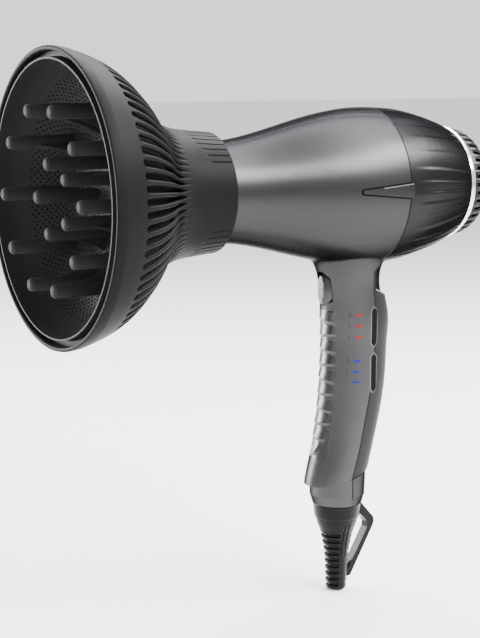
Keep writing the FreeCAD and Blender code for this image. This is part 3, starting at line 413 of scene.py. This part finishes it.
def make_collar(mesh, start, start_inner):
    """Collar behind the bell, with fine grooves over its top and under its bottom."""
    columns = list(range(0, 360, 3))
    for centre in GROOVE_ANGLES:
        columns = [c for c in columns if abs((c - centre + 180) % 360 - 180) > 1.3]
        columns += [(centre + d) % 360 for d in (-0.9, -0.45, 0, 0.45, 0.9)]
    columns = np.array(sorted(columns), dtype=float)
    depth_at = np.zeros(len(columns))
    front_at = np.full(len(columns), 1e3)
    for centre in GROOVE_ANGLES:
        away = np.abs((columns - centre + 180) % 360 - 180)
        near = away < GROOVE_HALF
        depth_at[near] = np.maximum(depth_at[near], 1 - (away[near] / GROOVE_HALF) ** 2)
        front_at[near] = groove_front(abs(centre))
    x = np.concatenate([np.linspace(start[0], COLLAR_END - 0.6, 40), [COLLAR_END - 0.15, COLLAR_END]])
    radius = np.interp(x, [start[0], -110.0, COLLAR_END], [start[1], 34.55, 33.65])
    radius[-1] -= 0.35
    cutting = ramp(x[:, None], front_at[None, :], front_at[None, :] + 1.6) * depth_at[None, :]
    angle = np.radians(columns)[None, :]
    mesh.sheet(around(x[:, None], radius[:, None] - GROOVE_DEPTH * cutting, angle), close=True)
    lip = [(COLLAR_END, radius[-1]), (COLLAR_END, 29.7), (COLLAR_END - 0.3, 29.4), (COLLAR_END - 2, 29.4),
           (COLLAR_END - 2, 31.4), (-115.0, 31.4), tuple(start_inner)]
    rows = turned(lip, np.radians(columns))
    rows[0] = around(x[-1], radius[-1] - GROOVE_DEPTH * cutting[-1], np.radians(columns))
    mesh.sheet(rows, close=True)


# --- bowl and fingers ------------------------------------------------------

BOWL = [(-194.0, 73.0), (-186.0, 71.8), (-177.0, 67.8), (-169.0, 60.5), (-163.6, 51.0), (-160.3, 40.0),
        (-158.0, 27.0), (-157.2, 14.0), (-157.0, 1.0)]
BOWL_WALL = 1.8
TILE = 1.95
HOLE, HOLE_DEPTH = 0.66, 1.4
HOLES_END = 67.5
# Bands of tiles: outer radius, inner radius, tiles round the band.
ZONES = [(69.0, 46.0, 200), (46.0, 23.0, 120), (23.0, 5.0, 60)]
OUTER_RING, INNER_RING = 48.4, 19.4
FINGER_R = 3.65
FINGER_CLEAR, FIN_CLEAR = 5.2, 2.2      # bare floor round a finger and beside its fin
FIN_LENGTH = 12.0
FIN_HALF, FIN_EDGE = 1.0, 0.35
TIP_R = 2.0              # rounding of a finger's tip
OUTER_ANGLES = [math.radians(36 * k) for k in range(10)]
INNER_ANGLES = [math.radians(180 + 72 * k) for k in range(5)]


def bowl_point(profile, length, s, angle):
    """Point at distance s along the bowl's profile."""
    x = np.interp(s, length, profile[:, 0])
    r = np.interp(s, length, profile[:, 1])
    return around(x, r, angle)


def blocked(radius, angle):
    """True under a finger or its fin, where the bowl has no holes."""
    for ring, angles, reach in ((OUTER_RING, OUTER_ANGLES, -FIN_LENGTH),
                                (INNER_RING, INNER_ANGLES, FIN_LENGTH)):
        for place in angles:
            along = radius * math.cos(angle - place) - ring
            across = abs(radius * math.sin(angle - place))
            if radius * math.cos(angle - place) < 0:
                continue
            if math.hypot(along, across) < FINGER_CLEAR:
                return True
            if across < FIN_CLEAR and min(0, reach) < along < max(0, reach):
                return True
    return False


def make_bowl():
    """Bowl: plain rim band, bands of tiles with small holes, plain middle, back and lip."""
    mesh = Mesh()
    profile = spline(BOWL, 400)
    length = arc_length(profile)

    def along(radius):
        return float(np.interp(-radius, -profile[:, 1], length))

    turn = np.linspace(0, 2 * math.pi, 200, endpoint=False)
    band = np.linspace(0, along(ZONES[0][0]), 10)
    mesh.sheet([bowl_point(profile, length, s, turn) for s in band], close=True, flip=True)
    for high, low, count in ZONES:
        start, stop = along(high), along(low)
        rows = 2 * round((stop - start) / TILE / 2)
        step, pitch = (stop - start) / rows, 2 * math.pi / count
        for i in range(rows):
            for j in range(count):
                add_tile(mesh, profile, length, start + i * step, step, j * pitch, pitch,
                         (i + j) % 2 == 0)
    end = np.linspace(along(ZONES[-1][1]), length[-1], 5)
    mesh.sheet([bowl_point(profile, length, s, turn[::5]) for s in end], close=True, flip=True)
    back = profile[::8] + np.array([BOWL_WALL, 0.9])
    mesh.sheet(turned(back, turn), close=True)
    lip = [(RIM_X, 73.0), (RIM_X, 73.9), (RIM_X + 4.0, 73.9), (RIM_X + 5.6, 74.4),
           (RIM_X + 5.6, 77.6)]
    mesh.sheet(turned(lip, turn), close=True)
    mesh.build("diffuser_bowl_skin", "diffuser", PAINT["bowl"], ["diffuser_bowl"], "diffuser_plastic", 35)


def add_tile(mesh, profile, length, s, step, angle, pitch, pierced):
    """One tile of the bowl, plain or with a small blind hole."""
    corners = bowl_point(profile, length, np.array([s, s, s + step, s + step]),
                         np.array([angle, angle + pitch, angle + pitch, angle]))
    mid_s, mid_a = s + step / 2, angle + pitch / 2
    radius = float(np.interp(mid_s, length, profile[:, 1]))
    if not pierced or radius > HOLES_END or blocked(radius, mid_a):
        mesh.loose(corners, [(0, 1, 2, 3)])
        return
    spin = math.pi / 4 * (np.arange(8) - 3)
    ring = bowl_point(profile, length, mid_s + HOLE * np.sin(spin), mid_a + HOLE * np.cos(spin) / radius)
    pit = ring + np.array([HOLE_DEPTH, 0, 0])
    faces = []
    for side, (a, b) in enumerate([(0, 1), (1, 2), (2, 3), (3, 0)]):
        first = 4 + 2 * side
        faces.append((a, b, 4 + (2 * side + 2) % 8, first + 1, first))
    for k in range(8):
        n = (k + 1) % 8
        faces.append((4 + k, 4 + n, 12 + n, 12 + k))
    faces.append(tuple(12 + k for k in range(8)))
    mesh.loose(np.concatenate([corners, ring, pit]), faces)


def add_post(mesh, ring, angle, tip_x, base_x, fin):
    """A finger: round post, rounded tip, and a tapering fin on one side."""
    profile = [(base_x, FINGER_R), (tip_x + TIP_R, FINGER_R)]
    profile += [(tip_x + TIP_R - TIP_R * math.sin(t), FINGER_R - TIP_R + TIP_R * math.cos(t))
                for t in np.linspace(0.15, math.pi / 2, 8)]
    profile.append((tip_x, 0.02))
    spin = np.linspace(0, 2 * math.pi, 32, endpoint=False)
    ahead = np.array([1, 0, 0])
    out = np.array([0, -math.cos(angle), math.sin(angle)])
    side = np.array([0, math.sin(angle), math.cos(angle)])
    centre = np.array([0, 0, AXIS_Z]) + ring * out
    wheel = np.cos(spin)[:, None] * out + np.sin(spin)[:, None] * side
    mesh.sheet([centre + px * ahead + pr * wheel for px, pr in profile], close=True)
    loops = []
    for width, inset in ((-FIN_HALF, FIN_EDGE), (-FIN_HALF + FIN_EDGE, 0), (FIN_HALF - FIN_EDGE, 0),
                         (FIN_HALF, FIN_EDGE)):
        drops = [along - math.copysign(inset, along) * (along != 0) for _, along in fin]
        loops.append([centre + px * ahead + drop * out + width * side
                      for (px, _), drop in zip(fin, drops)])
    mesh.sheet(loops, close=True)
    corners = tuple(range(len(fin)))
    mesh.loose(loops[0], [corners])
    mesh.loose(loops[-1], [corners[::-1]])


def make_fingers(which, ring, angles, base_x, fin_foot):
    """One ring of fingers. fin_foot is how the fin runs on below its start on the finger."""
    node = f"diffuser_{which}_fingers"
    tip_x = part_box(node)[0].x / MM
    step = math.copysign(3.6, fin_foot[0][1])
    fin = [(tip_x + 16, 0), (tip_x + 16.4, step)] + fin_foot
    mesh = Mesh()
    for angle in angles:
        add_post(mesh, ring, angle, tip_x, base_x, fin)
    mesh.build(f"{which}_finger_set", "diffuser", PAINT["finger"], [node], "diffuser_plastic", 45, merge=0)


CONE_WALL = 0.8


def make_guide_cone():
    """Cone inside the bell, from the nozzle towards the bowl, in the near-black shadow paint: painted
    shade seen through the air slots.
    """
    profile = spline([(-119.0, 30.9), (-128.0, 31.6), (-137.0, 35.4), (-147.0, 45.0), (-157.0, 56.8),
                      (-166.0, 64.6), (-172.0, 67.6)], 28)
    turn = np.linspace(0, 2 * math.pi, 144, endpoint=False)
    rows = turned(profile, turn) + turned(profile[::-1], turn, CONE_WALL)
    rows.append(rows[0])
    Mesh().sheet(rows, close=True).build("slot_shade_cone", "diffuser", PAINT["shadow"])


# --- handle details --------------------------------------------------------

# Sections of the grip: height, centre, half depth, half width.
GRIP = [(-68.0, -12.0, 18.9, 16.0), (-46.0, -6.5, 19.2, 16.6), (-22.0, -1.6, 20.1, 17.0),
        (2.0, 0.9, 20.9, 17.0), (21.0, 1.7, 21.1, 17.0), (41.0, 0.7, 21.1, 17.0), (57.0, -1.4, 20.6, 17.2)]
STRIP_TOP, STRIP_BOTTOM, STRIP_HALF = 38.0, -50.0, 8.6
RIDGE_PITCH, RIDGE_RISE, RIDGE_FOOT = 8.8, 0.95, 5.4
STRIP_RISE = 0.15        # of the strip between ridges


def grip_section(z):
    """Centre, half depth and half width of the grip at a height."""
    sections = spline(GRIP, 300)
    return [np.interp(z, sections[:, 0], sections[:, k]) for k in (1, 2, 3)]


def make_grip_strip():
    """Glossy strip down the grip's front: soft tilted ridges that end in a point."""
    z = np.linspace(STRIP_TOP, STRIP_BOTTOM, 420)
    y = np.concatenate([[-STRIP_HALF, -STRIP_HALF + 0.05],
                        np.linspace(-STRIP_HALF + 0.9, STRIP_HALF - 0.9, 24),
                        [STRIP_HALF - 0.05, STRIP_HALF]])
    zz, yy = np.meshgrid(z, y, indexing="ij")
    centre, depth, width = grip_section(zz)
    front = centre - depth * np.sqrt(1 - (yy / width) ** 2)
    number = np.floor((STRIP_TOP - zz) / RIDGE_PITCH)
    slant = np.where(number % 2 == 0, 0.16, -0.08)
    along = (STRIP_TOP - zz) - number * RIDGE_PITCH
    foot = RIDGE_FOOT - slant * yy
    rise = STRIP_RISE + RIDGE_RISE * np.clip(along / foot, 0, 1)
    fall = ramp(along, foot, foot + 1.9)
    back = STRIP_RISE + 0.25 * np.clip((along - foot) / (RIDGE_PITCH - foot), 0, 1)
    height = rise * (1 - fall) + back * fall
    reach = STRIP_HALF * np.sqrt(np.clip((zz - STRIP_BOTTOM) / 16, 0, 1))
    height *= ramp(reach - np.abs(yy), 0.1, 3.6)
    height *= ramp(STRIP_TOP - zz, 0, 0.8) * ramp(zz - STRIP_BOTTOM, 0, 3.0)
    sunk = (np.abs(yy) > STRIP_HALF - 0.02) * 1.0
    front = front - height - 0.03 + sunk
    rows = np.stack([front, yy, zz], axis=-1)
    Mesh().sheet(rows).build("grip_strip", "dryer", PAINT["strip"], ["front_grip"], "grip_gloss", 25)


HANDLE = ("front_housing", "rear_housing", "handle_rear_cover")


def barrel_hit(tree, x, angle):
    """Where a ray from outside towards the barrel's axis meets it, and the ray's direction."""
    start = Vector(around(np.array(float(x)), 80.0, angle))
    inward = (Vector((x, 0, AXIS_Z)) - start).normalized()
    return tree.ray_cast(start, inward)[0], inward


def drape(tree, x, z, side, lift):
    """Point on the handle's side at (x, z), lifted off the surface."""
    hit = tree.ray_cast(Vector((x, side * 90.0, z)), Vector((0, -side, 0)))[0]
    if hit is None:
        return None
    return np.array(hit) + lift * np.array([0, side, 0])


def bead(mesh, tree, path, side, width, lift):
    """Low bead along a path on the handle's side."""
    path = np.asarray(path, dtype=float)
    chord = arc_length(path)
    place = np.linspace(0, chord[-1], max(2, int(chord[-1] / 0.8)))
    x, z = np.interp(place, chord, path[:, 0]), np.interp(place, chord, path[:, 1])
    across = np.stack([-np.gradient(z), np.gradient(x)], axis=1)
    across /= np.linalg.norm(across, axis=1)[:, None]
    rows = []
    for offset, height in ((-0.5, -0.25), (-0.42, lift), (0.42, lift), (0.5, -0.25)):
        rows.append([drape(tree, px + a * offset * width, pz + b * offset * width, side, height)
                     for px, pz, (a, b) in zip(x, z, across)])
    columns = [column for column in zip(*rows) if all(point is not None for point in column)]
    mesh.sheet(np.array(columns))


# The joint between the handle's halves: (x, z) from the barrel down.
SEAM = [(SEAM_X, 67.5), (SEAM_X, 64.5), (3.0, 61.0), (5.0, 40.0), (5.0, 15.0), (2.0, -10.0), (-5.0, -45.0),
        (-9.6, -62.0), (-9.6, -75.0)]
KEY_X = 4.2
TEMP_KEYS_Z, SPEED_KEYS_Z = 28.2, 0.8
KEY_REACH, KEY_HALF = 11.5, 1.95
SEAM_TOP, SEAM_FOOT = 67.4, -74.9
SEAM_WIDTH, SEAM_LIFT = 0.75, 0.04


def seam_piece(top, bottom):
    """The seam's line between two heights."""
    heights = [top] + [z for _, z in SEAM if bottom < z < top] + [bottom]
    places, levels = zip(*SEAM)
    return [(float(np.interp(-z, [-level for level in levels], places)), z) for z in heights]


def make_seams():
    """Dark joint lines: down the handle on both sides, broken at the keys, and round the barrel."""
    tree = surface(*HANDLE)
    mesh = Mesh()
    gap = KEY_REACH + 0.6
    runs = [(SEAM_TOP, TEMP_KEYS_Z + gap), (TEMP_KEYS_Z - gap, SPEED_KEYS_Z + gap),
            (SPEED_KEYS_Z - gap, SEAM_FOOT)]
    for top, bottom in runs:
        bead(mesh, tree, seam_piece(top, bottom), -1, SEAM_WIDTH, SEAM_LIFT)
    bead(mesh, tree, seam_piece(SEAM_TOP, SEAM_FOOT), 1, SEAM_WIDTH, SEAM_LIFT)
    angle = np.radians(np.linspace(-66, 246, 300))
    rows = []
    for away, lift in ((-0.45, -0.25), (-0.38, SEAM_LIFT), (0.38, SEAM_LIFT), (0.45, -0.25)):
        row = []
        for turn in angle:
            hit, inward = barrel_hit(tree, SEAM_X + away, turn)
            row.append(np.array(hit) - lift * np.array(inward))
        rows.append(row)
    mesh.sheet(rows)
    mesh.build("seam_gasket", "dryer", PAINT["shadow"], merge=0)


def make_key_surrounds():
    """Chamfer round each pair of keys, following the handle's side, in a lighter paint than the housing: a
    painted highlight.
    """
    tree = surface(*HANDLE)
    mesh = Mesh()
    for middle in (TEMP_KEYS_Z, SPEED_KEYS_Z):
        loops = []
        for grow, lift in ((0.0, -0.5), (0.08, 0.12), (0.45, 0.16), (0.75, -0.05)):
            half, reach = KEY_HALF + grow, KEY_REACH + 0.25 + grow
            corners = [(-half, -reach + half), (0, -reach), (half, -reach + half), (half, reach - half),
                       (0, reach), (-half, reach - half)]
            corners.append(corners[0])
            loop = []
            for (ax, az), (bx, bz) in zip(corners, corners[1:]):
                for t in np.linspace(0, 1, 12, endpoint=False):
                    px, pz = ax + (bx - ax) * t, az + (bz - az) * t
                    # The side's height is read just outside the recess.
                    point = drape(tree, KEY_X + px * (KEY_HALF + 0.9) / half,
                                  middle + pz * (KEY_REACH + 1.6) / reach, -1, lift)
                    loop.append(np.array([KEY_X + px, point[1], middle + pz]))
            loops.append(loop)
        mesh.sheet(np.array(loops), close=True)
    mesh.build("key_surrounds", "dryer", PAINT["chamfer"], merge=0, sharp=30)


def make_cover_edge():
    """Bevel on the rear cover's sloping shoulder, on both sides, in the light edge paint: a painted
    highlight.
    """
    tree = surface(*HANDLE)
    mesh = Mesh()
    for side in (-1, 1):
        bead(mesh, tree, [(6.0, 50.1), (20.4, 44.1)], side, 0.9, 0.18)
    mesh.build("cover_shoulder_bevel", "dryer", PAINT["edge"], merge=0)


NUMERAL_SIZE, NUMERAL_WEIGHT = 3.6, 0.12
NUMERAL_GAP = 3.4


def make_numerals():
    """Generic level numbers 3, 2, 1 in front of the lamps."""
    tree = surface("front_housing")
    mesh = Mesh()
    for node in ("red_lamps", "blue_lamps"):
        for level, group in zip("321", lamp_rows(coords(node))):
            curve = bpy.data.curves.new("numeral", "FONT")
            curve.body = level
            curve.size = NUMERAL_SIZE
            curve.offset = NUMERAL_WEIGHT
            item = bpy.data.objects.new("numeral", curve)
            flat = bpy.data.meshes.new_from_object(item)
            centre_x, centre_z = group[:, 0].min() - NUMERAL_GAP, group[:, 2].mean()
            spots = [drape(tree, centre_x + v.co.x - 0.7, centre_z + v.co.y - 0.9, -1, 0.03)
                     for v in flat.vertices]
            mesh.loose(spots, [tuple(p.vertices) for p in flat.polygons])
            bpy.data.objects.remove(item)
            bpy.data.curves.remove(curve)
            bpy.data.meshes.remove(flat)
    mesh.build("level_numbers", "dryer", PAINT["ink"], merge=0)


def lamp_rows(points):
    """Split a lamp node's points into its three windows, highest first."""
    heights = np.sort(np.unique(np.round(points[:, 2], 1)))
    breaks = heights[1:][np.diff(heights) > 2.0]
    label = np.digitize(points[:, 2], breaks - 0.5)
    return [points[label == k] for k in sorted(set(label), reverse=True)]


# --- rear shell, latches and cap -------------------------------------------

FACETS, FACET_DEPTH = 34, 0.62
FACET_RISE = 0.82        # part of a facet's width that climbs; the rest falls
SKIN_LIFT = 0.02
SKIN_TUCK = 0.3          # how far the skin's ends dip into the shell


def barrel_radius(tree, x, angle):
    """Radius of the CAD barrel at x, read along one ray."""
    hit = barrel_hit(tree, x, angle)[0]
    return (hit - Vector((x, 0, AXIS_Z))).length if hit else 0.0


def make_rear_skin():
    """Soft lengthwise facets over the rear shell, gathering towards the trim ring."""
    tree = surface("rear_housing")
    x = np.concatenate([[SEAM_X + 0.42], np.linspace(SEAM_X + 0.5, RING_START - 0.4, 64),
                        [RING_START - 0.35]])
    radius = np.array([barrel_radius(tree, px, math.radians(78)) for px in x])
    angle = np.linspace(0, 2 * math.pi, FACETS * 14, endpoint=False)
    xx, aa = np.meshgrid(x, angle, indexing="ij")
    travel = (xx - SEAM_X) / (RING_START - SEAM_X)
    # Waves of no common period keep the facets from looking evenly spaced.
    bent = aa + 0.05 * np.sin(3 * aa + 0.6) + 0.03 * np.sin(7 * aa)
    bent = bent + 0.07 * travel ** 2 * np.sin(5 * aa + 1.0)
    part = np.mod(FACETS * bent / (2 * math.pi), 1.0)
    tooth = np.where(part < FACET_RISE, part / FACET_RISE, (1 - part) / (1 - FACET_RISE))
    swell = 0.75 + 0.25 * np.sin(4 * aa + 2.0)
    rise = FACET_DEPTH * swell * ramp(travel, 0.02, 0.4) * (1 - 0.5 * ramp(travel, 0.8, 1.0)) * tooth
    grown = radius[:, None] + SKIN_LIFT + rise
    grown[0] = radius[0] - SKIN_TUCK
    grown[-1] = radius[-1] - SKIN_TUCK
    mesh = Mesh().sheet(around(xx, grown, aa), close=True)
    mesh.build("rear_shell_facets", "dryer", PAINT["gloss"], sharp=50)


def make_latch_lines():
    """Dark gap round each side latch and a painted highlight along its top edge."""
    barrel, latches = surface("front_housing", "rear_housing"), surface("side_latches")
    low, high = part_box("side_latches")
    middle = (low.z + high.z) / 2 / MM
    tip, root = low.x / MM, high.x / MM
    reach = (high.z - low.z) / 2 / MM
    gap, bright = Mesh(), Mesh()
    arc = [(tip + 1.2 - 1.5 * math.cos(t), middle + 1.5 * math.sin(t)) for t in np.linspace(-1.4, 1.4, 12)]
    outline = [(root - 1.4, middle - reach - 0.45)] + arc + [(root - 1.4, middle + reach + 0.25)]
    crest = [(tip + 2.0, middle + 0.9), (root - 0.6, middle + reach - 0.45)]
    for side in (-1, 1):
        bead(gap, barrel, outline, side, 0.95, 0.05)
        # painted highlight: a light bead along the latch's top
        bead(bright, latches, crest, side, 0.55, 0.08)
    gap.build("latch_gaps", "dryer", PAINT["shadow"], merge=0)
    bright.build("latch_edge_highlights", "dryer", PAINT["edge"], merge=0)


RIB_COUNT, RIB_HALF, RIB_RISE = 40, 1.5, 0.75
CAP_RADIUS = 32.0
RIB_SINK = 0.3           # how far a rib's edges sit in the cap


def make_cap_ribs():
    """Rounded ribs between the cap's slots."""
    tree = surface("rear_grille")
    scan = np.linspace(0, 2 * math.pi / RIB_COUNT, 60, endpoint=False)
    depth = np.array([barrel_radius(tree, 73.0, turn) for turn in scan])
    solid = depth > depth.max() - 0.3
    wave = np.exp(1j * RIB_COUNT * scan)[solid].sum()
    phase = np.angle(wave) / RIB_COUNT
    profile = spline([(RING_END + 0.1, 32.4), (71.5, 31.6), (77.8, 27.6), (80.9, 23.0)], 20)
    normal = outward(profile)
    mesh = Mesh()
    for index in range(RIB_COUNT):
        centre = phase + 2 * math.pi * index / RIB_COUNT
        rows = []
        for t in np.linspace(-1, 1, 9):
            lift = RIB_RISE * math.sqrt(max(0, 1 - t * t)) - RIB_SINK
            fade = np.minimum(1, (CAP_END - 0.4 - profile[:, 0]) / 4)
            crest = profile + normal * (lift * fade)[:, None]
            rows.append(around(crest[:, 0], crest[:, 1], centre + t * RIB_HALF / CAP_RADIUS))
        mesh.sheet(np.array(rows))
    mesh.build("cap_ribs", "rear_filter", PAINT["cap"], sharp=60, merge=0)


# --- button and boot -------------------------------------------------------

FACE_X = -22.6           # the button's face


def make_button():
    """Cold-shot button: tall hexagon whose flanks slope back from a narrow face."""
    low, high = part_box("cold_shot_button")
    middle, reach, half = (low.z + high.z) / 2 / MM, (high.z - low.z) / 2 / MM, high.y / MM
    corners = np.array([(-0.3, 1.0), (0.3, 1.0), (1.0, 0.55), (1.0, -0.55), (0.3, -1.0), (-0.3, -1.0),
                        (-1.0, -0.55), (-1.0, 0.55)])
    # Each step: x, and the outline's share of the full width and height.
    steps = [(high.x / MM, 1.0, 1.0), (-19.4, 1.0, 1.0), (-19.8, 0.97, 0.99), (-22.2, 0.52, 0.82),
             (FACE_X, 0.44, 0.78), (FACE_X, 0.4, 0.75)]
    rows = [np.stack([np.full(8, px), corners[:, 0] * half * wide, middle + corners[:, 1] * reach * tall],
                     axis=1) for px, wide, tall in steps]
    mesh = Mesh().sheet(np.array(rows), close=True)
    mesh.loose(rows[-1], [tuple(range(8))])
    for row in range(7):
        z = middle + (row - 3) * reach * 0.18
        bar = [(x, across * half * wide, z + up * tall)
               for x, wide, tall in ((FACE_X - 0.3, 0.3, 0.35), (FACE_X + 0.1, 0.36, 0.6))
               for across, up in ((-1, -1), (1, -1), (1, 1), (-1, 1))]
        mesh.loose(bar, [(0, 1, 2, 3), (0, 4, 5, 1), (1, 5, 6, 2), (2, 6, 7, 3), (3, 7, 4, 0)])
    mesh.build("cold_shot_cap", "cold_shot", PAINT["button"], ["cold_shot_button"], "grip_gloss", 30,
               merge=0)


BOOT_X = -9.6
BOOT_TOP = -79.2
BOOT_SIDE = [(BOOT_TOP, 14.35), (-84.0, 13.95), (-88.0, 13.4)]
CORD_R = 3.6
BOOT_TAPER = [(-88.9, 12.75), (-92.5, 11.7), (-97.0, 10.0), (-103.0, 8.6), (-110.0, 7.3), (-118.0, 6.7),
              (-126.0, 6.35), (-132.2, 6.1)]
GROOVES = [-98.6 - 3.9 * k for k in range(9)]


def make_boot():
    """Strain-relief boot: top ring, tapering body, ribs front and rear, a pair of rails on each side."""
    turn = np.linspace(0, 2 * math.pi, 180, endpoint=False)
    ring_part = [(BOOT_TOP, 10.9), (BOOT_TOP, 13.9), (BOOT_TOP - 0.15, 14.25), (BOOT_TOP - 0.5, 14.4)]
    ring_part += list(spline(BOOT_SIDE, 8)[1:]) + [(-88.3, 13.1), (-88.35, 12.75)]
    taper = spline(BOOT_TAPER, 300)
    foot = [(BOOT_BOTTOM + 0.25, 5.8), (BOOT_BOTTOM, 5.3), (BOOT_BOTTOM, CORD_R)]
    z, radius = np.concatenate([ring_part, taper, foot]).T
    zz, tt = np.meshgrid(z, turn, indexing="ij")
    from_front = np.abs((np.degrees(tt) + 180) % 360 - 180)
    front = ramp(74 - from_front, 0, 8)
    rear = ramp(from_front - 132, 0, 8)
    groove = sum(np.exp(-((zz - middle) / 0.95) ** 4) for middle in GROOVES)
    swell = ramp(-95.5 - zz, 0, 2) * ramp(zz + 132.0, 0, 1.5)
    sunk = (1.5 * groove - 0.2 * swell) * np.maximum(front, rear)
    side = np.abs(from_front - 90)
    rail = np.exp(-((np.radians(side) * radius[:, None] - 1.5) / 0.42) ** 4)
    rail = rail * ramp(-90.0 - zz, 0, 1) * ramp(zz + 113.0, 0, 1)
    grown = radius[:, None] - sunk - 0.7 * rail
    rows = np.stack([BOOT_X - grown * np.cos(tt), grown * np.sin(tt), zz], axis=-1)
    Mesh().sheet(rows, close=True).build("boot_body", "dryer", PAINT["rubber"], ["strain_relief"],
                                         "soft_rubber", 50)


# --- floor, light and camera -----------------------------------------------

def lamp(name, place, target, size, watts):
    """A rectangular softbox aimed at target."""
    data = bpy.data.lights.new(name, "AREA")
    data.shape = "RECTANGLE"
    data.size, data.size_y = size
    data.energy = watts
    item = bpy.data.objects.new(name, data)
    item.location = Vector(place)
    item.rotation_euler = (Vector(target) - item.location).to_track_quat("-Z", "Y").to_euler()
    bpy.context.scene.collection.objects.link(item)


def make_studio():
    """White world, softboxes, and the camera at the photograph's angle."""
    scene = bpy.context.scene
    world = bpy.data.worlds.new("studio_white")
    world.use_nodes = True
    sky = world.node_tree.nodes["Background"]
    sky.inputs["Color"].default_value = (1, 1, 1, 1)
    sky.inputs["Strength"].default_value = 1.43
    scene.world = world
    lamp("key_softbox", (0.62, -0.78, 0.92), (-0.03, 0, 0.1), (1.5, 0.4), 75)
    lamp("top_softbox", (0.35, 0.62, 0.95), (-0.05, 0, 0.1), (1.7, 0.7), 40)
    lamp("over_softbox", (0.5, 0.0, 1.15), (-0.05, 0, 0.1), (1.5, 0.6), 36)
    lamp("back_softbox", (-0.75, 0.95, 0.05), (-0.03, 0, 0.0), (0.5, 0.8), 42)
    lamp("front_softbox", (-0.95, -0.35, 0.45), (-0.18, 0, 0.1), (0.4, 0.4), 2)
    camera = bpy.data.cameras.new("camera")
    camera.lens = 87.75
    camera.sensor_width = 36
    item = bpy.data.objects.new("camera", camera)
    item.location = Vector((-0.5286, -0.7465, 0.1783))
    aim = Vector((-0.0776, 0, 0.0374)) - item.location
    item.rotation_euler = aim.to_track_quat("-Z", "Y").to_euler()
    scene.collection.objects.link(item)
    scene.camera = item
    make_floor()


def make_floor():
    material = plastic("pale_floor", (0.75, 0.75, 0.75), 0.6, mottle=0.01, grain=0.02)
    mesh = bpy.data.meshes.new("floor")
    half, low = 12.0, (BOOT_BOTTOM - 1) * MM
    corners = [(-half, -half, low), (half, -half, low), (half, half, low), (-half, half, low)]
    mesh.from_pydata(corners, [], [(0, 1, 2, 3)])
    mesh.materials.append(material)
    floor = bpy.data.objects.new("floor", mesh)
    bpy.context.scene.collection.objects.link(floor)


make_bell()
make_bowl()
make_fingers("outer", OUTER_RING, OUTER_ANGLES, -160.0, [(-167.0, -9.5), (-158.6, -14.0), (-158.6, 0)])
make_fingers("inner", INNER_RING, INNER_ANGLES, -156.0, [(-163.0, 9.0), (-157.0, 12.5), (-157.0, 0)])
make_guide_cone()
make_grip_strip()
make_seams()
make_key_surrounds()
make_cover_edge()
make_numerals()
make_rear_skin()
make_latch_lines()
make_cap_ribs()
make_button()
make_boot()
paint_cad()
make_studio()
